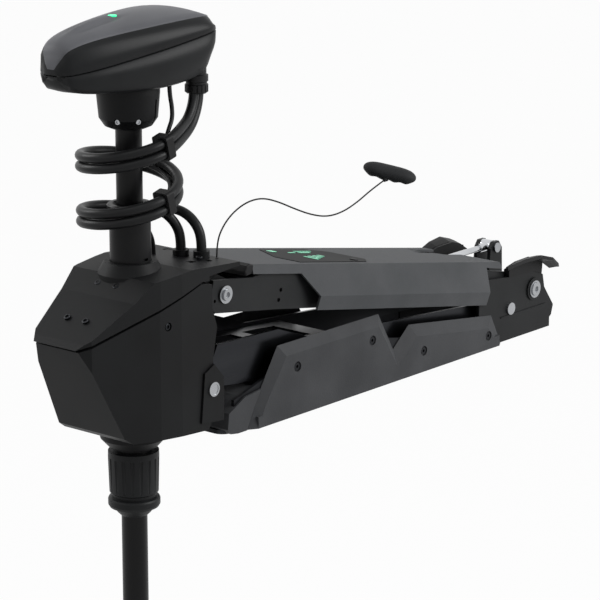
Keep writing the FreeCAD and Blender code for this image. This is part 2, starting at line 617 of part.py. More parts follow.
def front_pivot_bolts():
    """Two shoulder bolts that carry the housing on the arm."""
    pieces = []
    for side in (-1, 1):
        along = V(0, side, 0)
        y = side * (PLATE_Y + 1)
        shank = rod(BOLT_D / 2, 32, (PIVOT_X, y, PIVOT_Z), -along)
        head = rod(7.0, 4.2, (PIVOT_X, y, PIVOT_Z), along)
        washer = pipe(10.5, 7.3, 1.6, (PIVOT_X, y, PIVOT_Z), along)
        socket = rod(3.4, 3, (PIVOT_X, y + side * 1.8, PIVOT_Z), along)
        pieces.append(shank.fuse(head).cut(socket))
        pieces.append(washer)
    return group(pieces)


def link_front_pins():
    """Short pins in the housing's strips; the link is left free of them."""
    pieces = []
    for side in (-1, 1):
        along = V(0, side, 0)
        pin = rod(6, 6.6, (LINK_FRONT_X, side * 61.9, LINK_FRONT_Z), along)
        head = rod(8.5, 2.0, (LINK_FRONT_X, side * 68.5, LINK_FRONT_Z), along)
        pieces.append(pin.fuse(head).cut(rod(6.4, 0.8, (LINK_FRONT_X, side * 69.9, LINK_FRONT_Z), along)))
    return group(pieces)


BEARING_Z = (24.0, 176.0)


def steering_bearings():
    """Outer races and balls of the two thin bearings that carry the steering tube."""
    pieces = []
    for z in BEARING_Z:
        pieces.append(pipe(BEARING_R, 29.0, 12, (SHAFT_X, 0, z), Z_AXIS))
        for k in range(10):
            a = k * pi / 5
            pieces.append(Part.makeSphere(1.6, V(SHAFT_X + 27.3 * cos(a), 27.3 * sin(a), z + 6)))
    return group(pieces)


def lower_seal():
    lip = [(28, 0.5), (28, 7.5), (26.4, 7.5), (26.4, 3), (24.6, 2), (SLEEVE_R + 0.1, 5), (SLEEVE_R + 0.1, 1.5),
           (24.4, 0.5)]
    return turned(lip, (SHAFT_X, 0, 0), Z_AXIS)


GEAR_TEETH = 48
GEAR_MODULE = 1.5
PINION_TEETH = 12
GEAR_Z = 74.0
PINION_DISTANCE = GEAR_MODULE * (GEAR_TEETH + PINION_TEETH) / 2


def gear(teeth, height, phase):
    """A spur gear with straight-flanked teeth about the origin; phase is in tooth pitches."""
    pitch_r = GEAR_MODULE * teeth / 2
    root_r = pitch_r - 1.25 * GEAR_MODULE
    tip_r = pitch_r + 0.95 * GEAR_MODULE
    step = 2 * pi / teeth
    points = []
    for k in range(teeth):
        for r, part in ((root_r, -0.34), (tip_r, -0.11), (tip_r, 0.11), (root_r, 0.34)):
            a = (k + phase + part) * step
            points.append((r * cos(a), r * sin(a)))
    return slab_xy(points, 0, height)


def steering_pinion():
    """Pinion on the steering motor's output, in front of the ring gear."""
    wheel = gear(PINION_TEETH, 16, 0.5)
    wheel.translate(V(SHAFT_X - PINION_DISTANCE, 0, GEAR_Z - 1))
    axle = rod(4, 40, (SHAFT_X - PINION_DISTANCE, 0, GEAR_Z - 9), Z_AXIS)
    return wheel.fuse(axle)


def steering_motor():
    x = SHAFT_X - PINION_DISTANCE
    can = rod(19, 28, (x, 0, GEAR_Z + 31.5), Z_AXIS)
    boss = pipe(9, 4 + FIT, 6, (x, 0, GEAR_Z + 25.5), Z_AXIS)
    flange = box(x - 21, x + 17, -21, 21, GEAR_Z + 31.5, GEAR_Z + 34)
    bore = rod(4 + FIT, 12, (x, 0, GEAR_Z + 25), Z_AXIS)
    return joined([can, boss, flange]).cut(bore)


def steering_board():
    board = box(-530, -502, -30, 30, 118, 119.6)
    chips = [box(-524, -510, y, y + 12, 119.6, 121.4) for y in (-26, -8, 12)]
    return joined([board] + chips)


# ---- steering tube, depth collar and shaft ------------------------------
SLEEVE_TOP = 282.0
COLLAR_TOP = -8.0
COLLAR_LOW = -86.0


def steering_tube():
    """Tube that turns in the housing and guides the shaft; its lower end takes the depth collar."""
    profile = [(SHAFT_D / 2 + FIT, -34), (20.0, -34), (20.0, -5), (SLEEVE_R, -5), (SLEEVE_R, 276),
               (SLEEVE_R + 2.2, 277), (SLEEVE_R + 2.6, SLEEVE_TOP - 2), (SLEEVE_R + 1.2, SLEEVE_TOP),
               (20.0, SLEEVE_TOP), (18.0, SLEEVE_TOP - 3), (SHAFT_D / 2 + FIT, SLEEVE_TOP - 5)]
    tube = turned(profile, (SHAFT_X, 0, 0), Z_AXIS)
    slot = box(SHAFT_X - 4, SHAFT_X + 4, -30, -20, 218, 221)
    races = [pipe(25.6, SLEEVE_R - 1, 12, (SHAFT_X, 0, z), Z_AXIS) for z in BEARING_Z]
    return tube.fuse(races).cut(slot)


def ring_gear():
    wheel = gear(GEAR_TEETH, 14, 0)
    wheel.translate(V(SHAFT_X, 0, GEAR_Z))
    hub = pipe(30, SLEEVE_R, 6, (SHAFT_X, 0, GEAR_Z - 6), Z_AXIS)
    return wheel.cut(rod(SLEEVE_R, 20, (SHAFT_X, 0, GEAR_Z - 1), Z_AXIS)).fuse(hub)


def depth_collar():
    """Fluted nut that clamps the shaft at its depth."""
    profile = [(20.0 + FIT, COLLAR_TOP), (29.4, COLLAR_TOP), (29.6, -14), (28.4, -57), (26.0, -59),
               (25.6, -63), (29.2, -64), (30.2, -66), (30.2, -72), (28.6, -75), (24.5, -76),
               (19.5, -82), (SHAFT_D / 2 + 0.5, COLLAR_LOW), (SHAFT_D / 2 + 0.5, -48), (20.0 + FIT, -40)]
    body = turned(profile, (SHAFT_X, 0, 0), Z_AXIS)
    flutes = []
    for k in range(18):
        a = k * pi / 9
        flutes.append(rod(2.6, 40, (SHAFT_X + 30.6 * cos(a), 30.6 * sin(a), -55), Z_AXIS))
    return body.cut(flutes)


def collet():
    """Split nylon sleeve that the collar squeezes on the shaft."""
    ring = pipe(19.6, SHAFT_D / 2 + FIT, 5.4, (SHAFT_X, 0, -39.8), Z_AXIS)
    return ring.cut(box(SHAFT_X + 10, SHAFT_X + 30, -1, 1, -60, 0))


SHAFT_FOOT = POD_Z + 42.0


def shaft():
    tube = pipe(SHAFT_D / 2, SHAFT_BORE / 2, 428 - SHAFT_FOOT, (SHAFT_X, 0, SHAFT_FOOT), Z_AXIS)
    return tube


def neck():
    """Tapered socket under the head, clamped on the shaft."""
    profile = [(SHAFT_D / 2, 368), (20, 368), (27, 371), (33.2, 380), (33.6, 384), (35.8, 408),
               (35.8, HEAD_BOTTOM_Z), (SHAFT_D / 2, HEAD_BOTTOM_Z)]
    body = turned(profile, (SHAFT_X, 0, 0), Z_AXIS)
    slot = box(SHAFT_X + 8, SHAFT_X + 10.6, -40, -20, 374, 402)
    wells = [rod(3.6, 40, (SHAFT_X, 0, 379), V(cos(a), sin(a), 0)) for a in NECK_ANGLES]
    core = rod(26, 30, (SHAFT_X, 0, 364), Z_AXIS)
    return body.cut([slot] + [w.cut(core) for w in wells])


NECK_ANGLES = [radians(200), radians(245)]


# Sections of the head: x, bottom height and half width, seam half width, top edge half width
# and height, crown height.  The seam rises evenly to the stern.
def head_sections():
    return [
        (-556.0, 436, 9, 15, 12, 460, 463),
        (-541.0, 424, 17, 26, 20, 472, 477),
        (-505.0, 418, 29, 40, 31, 481, 489),
        (-432.0, 415, 43, 55, 45, 488, 497),
        (-374.0, 421, 47, 61, 51, 491, 497),
        (-352.0, 436, 43, 59, 48, 489, 493),
        (-342.0, 454, 34, 50, 40, 481, 484),
    ]


def seam_z(x):
    return 441 + (x + 556) * 0.155


def ring_across(x, half):
    """Closed ring at x from the (y, z) points of its left half, bottom to top."""
    return [V(x, -y, z) for y, z in half] + [V(x, y, z) for y, z in reversed(half)]


def head_loft(lower, inset):
    rings = []
    sections = head_sections()
    for n, (x, low, low_y, seam_y, top_y, top, crown) in enumerate(sections):
        i = inset
        x += i if n == 0 else -i if n == len(sections) - 1 else 0
        s = seam_z(x)
        if lower:
            half = [(low_y - i, low + i), (seam_y - 2 - i, (low + s) / 2), (seam_y - i, s)]
        else:
            half = [(seam_y - i, s), (seam_y - 1 - i, (s * 2 + top) / 3), (top_y + 1 - i, top - 2.2 - i),
                    (6, crown - 2.2 - i)]
        rings.append(ring_across(x, half))
    return loft(rings)


def head_lower_shell():
    outer = head_loft(True, 0)
    inner = head_loft(True, 3)
    deck = slab_xz([(-560, seam_z(-560) - 1.5), (-330, seam_z(-330) - 1.5), (-330, 520), (-560, 520)], -80, 80)
    shell = outer.cut(inner.cut(deck)).cut(inner.common(deck))
    gland_hole = rod(GLAND_R - 2, 60, (GLAND_X, GLAND_Y, 400), Z_AXIS)
    thin_hole = rod(THIN_D / 2, 60, (THIN_X, THIN_Y, 390), Z_AXIS)
    shaft_hole = rod(SHAFT_D / 2, 60, (SHAFT_X, 0, 400), Z_AXIS)
    cap = rod(35.8, 10, (SHAFT_X, 0, HEAD_BOTTOM_Z - 8), Z_AXIS)
    return shell.cut([gland_hole, thin_hole, shaft_hole, cap.common(rod(60, 8, (SHAFT_X, 0, 411), Z_AXIS))])


GLAND_X = -355.0
GLAND_Y = -33.0
GLAND_R = 13.4
THIN_X = -397.0
THIN_Y = -30.0


def head_upper_shell():
    shell = head_loft(False, 0).cut(head_loft(False, 3))
    light = rod(5, 20, (-455, 0, 480), Z_AXIS)
    return shell.cut(light)


def head_top_plate():
    """Thin sculpted plate on the head's crown, with a raised ridge and a groove to the light."""
    rings = []
    for x, low, low_y, seam_y, top_y, top, crown in head_sections():
        half = [(top_y + 1, top - 2.2), (top_y, top), (6, crown), ]
        inner = [(6, crown - 2.2)]
        ring = [V(x, -y, z) for y, z in half] + [V(x, y, z) for y, z in reversed(half)]
        ring += [V(x, y, z) for y, z in inner] + [V(x, -y, z) for y, z in inner]
        rings.append(ring)
    plate = loft(rings)
    return plate.cut(rod(5, 20, (-455, 0, 480), Z_AXIS))


def head_light():
    lens = rod(4.9, 9, (-455, 0, 487.5), Z_AXIS)
    return lens


def head_board():
    board = box(-500, -368, -34, 34, seam_z(-450) - 4, seam_z(-450) - 2.4)
    chip = box(-478, -456, -8, 12, seam_z(-450) - 2.4, seam_z(-450) + 0.2)
    compass = box(-404, -392, -6, 6, seam_z(-450) - 2.4, seam_z(-450) + 1)
    led = rod(2.5, 6, (-455, 0, seam_z(-450) - 2.4), Z_AXIS)
    return joined([board, chip, compass, led])


def cable_gland():
    """Double ribbed nut under the head's stern, where the two power cables leave."""
    profile = [(0, 400), (GLAND_R - 2.5, 400), (GLAND_R, 402), (GLAND_R, 410), (GLAND_R - 1.4, 411),
               (GLAND_R - 1.4, 413), (GLAND_R, 414), (GLAND_R, 421), (GLAND_R - 2, 422), (GLAND_R - 2, 436),
               (0, 436)]
    nut = turned(profile, (GLAND_X, GLAND_Y, 0), Z_AXIS)
    ribs = [rod(0.9, 8, (GLAND_X + GLAND_R * cos(k * pi / 8), GLAND_Y + GLAND_R * sin(k * pi / 8), 402), Z_AXIS)
            for k in range(16)]
    bores = []
    for side in (-1, 1):
        x = GLAND_X + side * PAIR_HALF * cos(radians(GLAND_HEADING))
        y = GLAND_Y + side * PAIR_HALF * sin(radians(GLAND_HEADING))
        bores.append(rod(CABLE_D / 2 + 1.0, 11, (x, y, 398), Z_AXIS))
        bores.append(rod(CABLE_D / 2 + 0.05, 18, (x, y, 398), Z_AXIS))
    return nut.cut(ribs + bores)


# ---- drive pod ----------------------------------------------------------
POD_R = 45.0
PROP_X = SHAFT_X + 165.0


def pod_case():
    profile = [(0, -14), (POD_R - 3, -14), (POD_R, -8), (POD_R, 196), (POD_R - 6, 210), (POD_R - 20, 226),
               (0, 226)]
    tube = turned(profile, (SHAFT_X - 92, 0, POD_Z), X_AXIS)
    inside = rod(POD_R - 3.5, 190, (SHAFT_X - 92, 0, POD_Z), X_AXIS)
    collar = turned([(0, 38), (27, 38), (22, 60), (20, 92), (SHAFT_D / 2 + 2, 96), (0, 96)],
                    (SHAFT_X, 0, POD_Z), Z_AXIS)
    fins = [rod(POD_R + 1.2, 3, (SHAFT_X - 60 + k * 12, 0, POD_Z), X_AXIS) for k in (-1, 9)]
    shaft_hole = rod(SHAFT_D / 2, 120, (SHAFT_X, 0, POD_Z + 41), Z_AXIS)
    seal_bore = rod(12, 60, (SHAFT_X + 90, 0, POD_Z), X_AXIS)
    return joined([tube, collar] + fins).cut([inside, shaft_hole, seal_bore])


def pod_nose():
    start = SHAFT_X - 106
    profile = [(0, 0), (POD_R - 4, 0), (POD_R - 3, -1)]
    profile += [((POD_R - 3) * cos(k * pi / 16), -1 - 56 * sin(k * pi / 16)) for k in range(1, 8)]
    profile.append((0, -57))
    return turned(profile, (start - 0.05, 0, POD_Z), X_AXIS)


def skeg():
    fin = slab_xz([(-470, POD_Z - POD_R + 3), (-360, POD_Z - POD_R + 3), (-352, POD_Z - 112),
                   (-366, POD_Z - 128), (-392, POD_Z - 124)], -4, 4)
    return fin.cut(rod(POD_R, 200, (SHAFT_X - 92, 0, POD_Z), X_AXIS))


def stator():
    ring = pipe(POD_R - 3.5, 25, 60, (SHAFT_X - 40, 0, POD_Z), X_AXIS)
    gaps = []
    for k in range(12):
        slot = box(SHAFT_X - 44, SHAFT_X + 24, -2.4, 2.4, 24, POD_R - 9)
        slot.rotate(V(), X_AXIS, k * 30)
        slot.translate(V(0, 0, POD_Z))
        gaps.append(slot)
    return ring.cut(gaps)


FRAME_X = (SHAFT_X - 72, SHAFT_X + 56)


def pod_bearings():
    return group([pipe(17, 7 + FIT, 10, (x, 0, POD_Z), X_AXIS) for x in FRAME_X])


def bearing_frames():
    """End frames that hold the pod's bearings."""
    frames = []
    for x in FRAME_X:
        disc = pipe(POD_R - 3.5, 17, 10, (x, 0, POD_Z), X_AXIS)
        holes = [rod(6, 12, (x - 1, 29 * cos(k * pi / 2), POD_Z + 29 * sin(k * pi / 2)), X_AXIS) for k in range(4)]
        frames.append(disc.cut(holes))
    return group(frames)


def shaft_seal():
    return pipe(12, 7 + FIT, 8, (SHAFT_X + 122, 0, POD_Z), X_AXIS)


def rotor():
    """Motor rotor on the propeller shaft."""
    core = pipe(24, 7, 56, (SHAFT_X - 38, 0, POD_Z), X_AXIS)
    axle = rod(7, 268, (SHAFT_X - 80, 0, POD_Z), X_AXIS)
    drive_pin = rod(2.4, 30, (PROP_X - 12, 0, POD_Z - 15), Z_AXIS)
    return joined([core, axle, drive_pin])


def blade(turn):
    """One swept blade lofted through five twisted sections."""
    rings = []
    for r, chord, pitch, sweep in ((17, 34, 48, 0), (40, 58, 36, 4), (70, 70, 27, 10),
                                   (100, 62, 21, 17), (PROP_R, 24, 18, 26)):
        thick = 5.0 - r * 0.028
        ring = []
        for along, across in ((-0.5, 0), (-0.2, 0.5), (0.2, 0.45), (0.5, 0), (0.2, -0.3), (-0.2, -0.35)):
            u = along * chord + sweep
            w = across * thick
            a = radians(pitch)
            ring.append(V(PROP_X + u * sin(a) + w * cos(a), u * cos(a) - w * sin(a), r))
        rings.append(ring)
    one = loft(rings)
    one.rotate(V(), X_AXIS, turn)
    one.translate(V(0, 0, POD_Z))
    return one


def propeller():
    hub = turned([(7 + 0.02, -26), (22, -26), (24, -10), (22, 22), (17, 30), (7 + 0.02, 30)],
                 (PROP_X, 0, POD_Z), X_AXIS)
    slot = box(PROP_X - 27, PROP_X - 9.4, -2.6, 2.6, POD_Z - 15.2, POD_Z + 15.2)
    blades = [blade(k * 180) for k in range(2)]
    return joined([hub] + blades).cut([slot, rod(7.02, 80, (PROP_X - 40, 0, POD_Z), X_AXIS)])


def prop_nut():
    points = [(10 * cos(k * pi / 3), 10 * sin(k * pi / 3)) for k in range(6)]
    nut = slab_xy(points, 0, 10).cut(rod(7, 12, (0, 0, -1), Z_AXIS))
    nut.Placement = FreeCAD.Placement(V(PROP_X + 30.3, 0, POD_Z), FreeCAD.Rotation(Z_AXIS, X_AXIS))
    return nut


# ---- latch --------------------------------------------------------------
LATCH_RELEASE = 25.0


def latch_hook():
    """Spring hook on the housing's stern.  It is drawn released, its tooth clear of the striker."""
    outline = [(-389, 62), (-384, 67), (-377, 65), (-366, 50), (-358, 38), (-352, 32), (-344, 32.5),
               (-336, 35), (-333, 32), (-336, 26), (-350, 22), (-362, 27), (-376, 46), (-388, 55)]
    arm = slab_xz(outline, -5, 5)
    arm.rotate(V(HOOK_X, 0, HOOK_Z), Y_AXIS, LATCH_RELEASE)
    return arm.fuse(pin_y(3, HOOK_X, HOOK_Z, -15, 15))


def latch_cheeks():
    """Two ears on the housing's rear wall for the hook's pin."""
    outline = [(-371, 46), (-371, 74), (-384, 70), (-390, 60), (-384, 50)]
    return [slab_xz(outline, side * 11 - 3.5, side * 11 + 3.5) for side in (-1, 1)]


def latch_spring():
    """Torsion spring on the hook's pin, beside the hook."""
    return Part.makeTorus(4.2, 0.5, V(HOOK_X, 6.2, HOOK_Z), Y_AXIS)


# ---- cables -------------------------------------------------------------
COIL_R = 56.0
THIN_COIL_R = 46.5
PAIR_HALF = CABLE_D / 2 + 0.35
COIL_START = -76.0      # angle where the coil begins, half a step before the first clip
COIL_STEP = 24
CLIP_STEP = 15          # the cables change body after this many steps of the coil
COIL_STEPS = 25


def coil_z(turn):
    """Height of the coil, `turn` degrees past the first clip; it droops on its bow side."""
    return 355.8 - 0.175 * turn - 6 * sin(radians(turn + 38))


def around(angle, radius, z):
    """A point at an angle and distance from the steering axis."""
    return (SHAFT_X + radius * cos(radians(angle)), radius * sin(radians(angle)), z)


def coil_points(radius, lift):
    return [around(COIL_START - COIL_STEP * k, radius, coil_z(COIL_STEP * (k - 0.5)) + lift)
            for k in range(COIL_STEPS + 1)]


def halfway(a, b):
    return tuple((p + q) / 2 for p, q in zip(a, b))


def upper_part(lead, coil):
    """From a lead-in to the second clip, which grips the middle of a run."""
    return lead + coil[:CLIP_STEP + 1] + [halfway(coil[CLIP_STEP], coil[CLIP_STEP + 1])]


def lower_part(coil, tail):
    return [halfway(coil[CLIP_STEP], coil[CLIP_STEP + 1])] + coil[CLIP_STEP + 1:] + tail


LEAD_TILT = 20          # each bend of the lead turns this much, from straight down to near level
LEAD_RUN = 16.0
GLAND_HEADING = 197.0   # the way the pair leaves the gland


def pair_lead(side):
    """From the gland the two power cables bend level together, one above the other."""
    points = []
    along, z = 0.0, 416.0
    for bend in range(5):
        lean = radians(LEAD_TILT * bend)
        half = radians(LEAD_TILT / 2) if bend else 0.0
        reach = side * PAIR_HALF / cos(half)
        if bend:
            along += LEAD_RUN * sin(lean - 2 * half)
            z -= LEAD_RUN * cos(lean - 2 * half)
        s = along + reach * cos(lean - half)
        points.append((GLAND_X + s * cos(radians(GLAND_HEADING)), GLAND_Y + s * sin(radians(GLAND_HEADING)),
                       z + reach * sin(lean - half)))
    return points


def tail(side):
    """The last bends of a power cable, down into its inlet."""
    x, y = INLETS[0 if side == 1 else 1]
    if side == 1:
        return [(-368.4, 18, 261.6), (-358.8, 9.5, 253.8), (-351.8, 3.3, 242.1), (x, y, 228), (x, y, 213)]
    return [(-412, 56, 256.3), (-389.4, 55.3, 255.7), (-375.9, 51.6, 255.5), (-363.9, 44.4, 255.8),
            (-354.2, 34.3, 256.6), (-347.5, 22, 257.6), (-344.2, 6.5, 258.2), (-341.4, -7, 252.5),
            (-339.2, -17.4, 241.9), (x, y, 228), (x, y, 213)]


def power_cable(side, upper):
    coil = coil_points(COIL_R, side * PAIR_HALF)
    if side == -1:
        coil = coil[:-2]
    points = upper_part(pair_lead(side), coil) if upper else lower_part(coil, tail(side))
    return cord(points, CABLE_D, f"power cable {side} {'upper' if upper else 'lower'}")


def sensor_cable(upper):
    """Thin cable that runs inside the pair's coil."""
    coil = coil_points(THIN_COIL_R, 0)
    x, y = THIN_INLET
    lead = [(THIN_X, THIN_Y, 419.2), (THIN_X, THIN_Y - 0.5, 404), (THIN_X + 1, THIN_Y - 3, 390),
            (THIN_X - 2, THIN_Y - 6, 377), (-408, -38.5, 367)]
    end = [(-392, 34, 253), (-379, 29.5, 245), (-370.5, 27, 232.5), (x, y, 219), (x, y, 206)]
    points = upper_part(lead, coil) if upper else lower_part(coil[:-2], end)
    return cord(points, THIN_D, f"sensor cable {'upper' if upper else 'lower'}")


def cable_clips():
    """Two straps round the three cables, each square to the middle of a run."""
    coil = coil_points(COIL_R, 0)
    clips = []
    for step in (0, CLIP_STEP):
        middle = halfway(coil[step], coil[step + 1])
        run = V(*coil[step + 1]) - V(*coil[step])
        outer = box(-13.5, 8.2, -5.5, 5.5, -13.9, 13.9)
        inner = [rod(CABLE_D / 2 + 0.7, 20, (0, -10, s * PAIR_HALF), Y_AXIS) for s in (-1, 1)]
        inner.append(rod(THIN_D / 2 + 0.8, 20, ((THIN_COIL_R - COIL_R) * cos(radians(COIL_STEP / 2)), -10, 0),
                         Y_AXIS))
        strap = rounded(outer, 3.5, lambda c, e: abs(c.y) < 0.1).cut(inner)
        strap.rotate(V(), X_AXIS, degrees(atan2(-run.z, hypot(run.x, run.y))))
        strap.rotate(V(), Z_AXIS, COIL_START - (step + 0.5) * COIL_STEP)
        strap.translate(V(*middle))
        clips.append(strap)
    return group(clips)


PULL_POINTS = [(CORD_EXIT[0], CORD_EXIT[1], 205.4), (-326, -36, 223), (-315, -36, 240), (-297, -36, 253),
               (-273, -36, 261), (-247, -36.4, 261.5), (-218, -36, 252), (-187, -35, 238), (-155, -34.5, 225),
               (-124, -34, 217), (-93, -33, 217.5), (-63, -32, 225), (-36, -32, 236)]
HANDLE_AT = (3.0, -29.0, 250.0)
HANDLE_ALONG = V(0.62, -0.74, -0.24)


def pull_cord():
    x, y, z = HANDLE_AT
    return cord(PULL_POINTS + [(x - 10.7, y - 1.3, z - 6.8)], PULL_D, "pull cord")


def pull_handle():
    """Rubber grip with finger grooves; the cord enters its middle from below."""
    profile = [(0, -34), (8, -34), (11.5, -30), (12, -24), (10.2, -17), (11.8, -9), (10.4, 0),
               (11.8, 9), (10.2, 17), (12, 24), (11.5, 30), (8, 34), (0, 34)]
    return turned(profile, HANDLE_AT, HANDLE_ALONG)


# ---- build --------------------------------------------------------------
def pair(shape):
    return group([shape, mirrored(shape)])


def pieces():
    cover = base_side_cover()
    return {
        "deck_plate": deck_plate(),
        "base_rails": pair(base_rail()),
        "base_cover_left": cover,
        "base_cover_right": mirrored(cover),
        "base_cover_screws": side_screws(),
        "rear_brackets": pair(rear_bracket()),
        "cradle_wings": pair(cradle_wing()),
        "base_pins": group([hinge_bolts(), link_rear_pin(), spring_pin()]),
        "spring_bracket": spring_bracket(),
        "front_rest": front_rest(),
        "latch_striker": latch_striker(),
        "arm_cover": arm_cover(),
        "display_panel": display_panel(),
        "display_board": display_board(),
        "power_button": power_button(),
        "arm_plates": pair(arm_plate()),
        "arm_tie_tubes": arm_ties(),
        "arm_bushes": arm_bushes(),
        "arm_end_rubber": arm_end_rubber(),
        "lower_link": lower_link(),
        "spring_rod": spring_rod(),
        "spring_cylinder": spring_cylinder(),
        "housing_shell": housing_shell(),
        "housing_cover": housing_cover(),
        "front_pivot_bolts": front_pivot_bolts(),
        "link_front_pins": link_front_pins(),
        "steering_bearings": steering_bearings(),
        "lower_seal": lower_seal(),
        "steering_motor": steering_motor(),
        "steering_board": steering_board(),
        "steering_pinion": steering_pinion(),
        "latch_hook": group([latch_hook(), latch_spring()]),
        "steering_tube": steering_tube(),
        "ring_gear": ring_gear(),
        "collet": collet(),
        "depth_collar": depth_collar(),
        "shaft": shaft(),
        "neck": neck(),
        "head_lower_shell": head_lower_shell(),
        "head_upper_shell": head_upper_shell(),
        "head_top_plate": head_top_plate(),
        "head_light": head_light(),
        "head_board": head_board(),
        "cable_gland": cable_gland(),
        "pod_case": pod_case().fuse(skeg()),
        "pod_nose": pod_nose(),
        "stator": stator(),
        "pod_bearings": group([pod_bearings(), bearing_frames(), shaft_seal()]),
        "rotor": rotor(),
        "propeller": propeller(),
        "prop_nut": prop_nut(),
        "power_cable_a_upper": power_cable(1, True),
        "power_cable_a_lower": power_cable(1, False),
        "power_cable_b_upper": power_cable(-1, True),
        "power_cable_b_lower": power_cable(-1, False),
        "sensor_cable_upper": sensor_cable(True),
        "sensor_cable_lower": sensor_cable(False),
        "cable_clips": cable_clips(),
        "pull_cord": pull_cord(),
        "pull_handle": pull_handle(),
    }


def main():
    os.makedirs("parts", exist_ok=True)
    for name, shape in pieces().items():
        if not shape.isValid():
            print("not valid:", name)
        shape.exportStep(f"parts/{name}.step")


if __name__ == "__main__":
    main()
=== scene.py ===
"""Studio scene of a deployed bow-mount trolling motor, laid out as an add-on and run as a script."""
import bpy
import bmesh
import json
from math import atan2, cos, exp, pi, radians, sin
from mathutils import Matrix, Vector
from bpy.props import FloatProperty, FloatVectorProperty, PointerProperty
from bpy.types import Operator, Panel, PropertyGroup


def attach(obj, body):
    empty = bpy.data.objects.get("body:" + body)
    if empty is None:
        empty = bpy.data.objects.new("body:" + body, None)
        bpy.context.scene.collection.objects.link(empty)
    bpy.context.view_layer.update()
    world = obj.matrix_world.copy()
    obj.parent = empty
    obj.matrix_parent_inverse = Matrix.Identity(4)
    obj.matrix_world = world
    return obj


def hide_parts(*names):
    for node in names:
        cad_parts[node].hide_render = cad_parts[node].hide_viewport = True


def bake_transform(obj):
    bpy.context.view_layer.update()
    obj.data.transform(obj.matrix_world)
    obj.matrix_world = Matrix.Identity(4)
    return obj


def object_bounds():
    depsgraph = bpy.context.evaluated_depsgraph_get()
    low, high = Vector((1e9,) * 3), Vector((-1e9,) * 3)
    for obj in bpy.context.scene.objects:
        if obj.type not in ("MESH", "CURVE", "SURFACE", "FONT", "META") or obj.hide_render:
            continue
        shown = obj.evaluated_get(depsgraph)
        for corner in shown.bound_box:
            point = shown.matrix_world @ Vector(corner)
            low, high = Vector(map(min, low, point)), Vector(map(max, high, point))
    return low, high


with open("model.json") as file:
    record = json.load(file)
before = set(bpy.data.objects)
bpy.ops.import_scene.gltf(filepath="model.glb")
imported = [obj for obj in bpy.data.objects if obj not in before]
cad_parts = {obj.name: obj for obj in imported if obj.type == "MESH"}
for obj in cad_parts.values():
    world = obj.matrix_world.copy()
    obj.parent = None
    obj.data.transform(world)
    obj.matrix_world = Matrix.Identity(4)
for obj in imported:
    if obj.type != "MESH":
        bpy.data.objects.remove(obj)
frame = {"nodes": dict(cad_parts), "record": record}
CAD_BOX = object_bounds()

bl_info = {
    "name": "Trolling motor",
    "version": (1, 0, 0),
    "blender": (4, 5, 0),
    "location": "3D View > Sidebar > Motor",
    "description": "Finishes, cables and stage of a bow-mount trolling motor",
    "category": "Object",
}

MM = 0.001
SHAFT_X = -432.0
# the folding arm's rear hinge and front pivot, along and above the base, in millimetres
ARM_HINGE = (262.0, 58.0)
ARM_FRONT = (-340.0, 167.5)
ARM_ANGLE = atan2(ARM_FRONT[1] - ARM_HINGE[1], ARM_HINGE[0] - ARM_FRONT[0])


# ---- colours and nodes --------------------------------------------------
def linear(hex_colour):
    """An sRGB hex colour as linear RGBA."""
    channels = [int(hex_colour[i:i + 2], 16) / 255 for i in (1, 3, 5)]
    curve = [c / 12.92 if c <= 0.04045 else ((c + 0.055) / 1.055) ** 2.4 for c in channels]
    return (*curve, 1.0)


def add(material, kind, links=None, **settings):
    """Adds a node. Settings name its attributes, its inputs or a ramp's stops.

    Links go from an input's name to the node and the output that feed it.
    """
    node = material.node_tree.nodes.new("ShaderNode" + kind)
    for key, value in settings.items():
        if key == "stops":
            for stop, (at, colour) in zip(node.color_ramp.elements, value):
                stop.position = at
                stop.color = colour
        elif hasattr(node, key):
            setattr(node, key, value)
        else:
            node.inputs[key.replace("_", " ")].default_value = value
    for key, (source, output) in (links or {}).items():
        material.node_tree.links.new(source.outputs[output], node.inputs[key])
    return node


def start(name):
    """A new material with an empty node tree."""
    material = bpy.data.materials.new(name)
    material.use_nodes = True
    material.node_tree.nodes.clear()
    return material


def finish_surface(material, shader):
    """Joins the last shader to the output."""
    output = add(material, "OutputMaterial")
    material.node_tree.links.new(shader.outputs[0], output.inputs["Surface"])
    return material


# ---- materials ----------------------------------------------------------
DRIFT_MM = 90
MATT_SPECULAR = 0.14
METAL_SPECULAR = 0.5
ALONG_X = (0.06, 1.0, 1.0)
ALONG_Z = (1.0, 1.0, 0.05)
SURFACES = {}


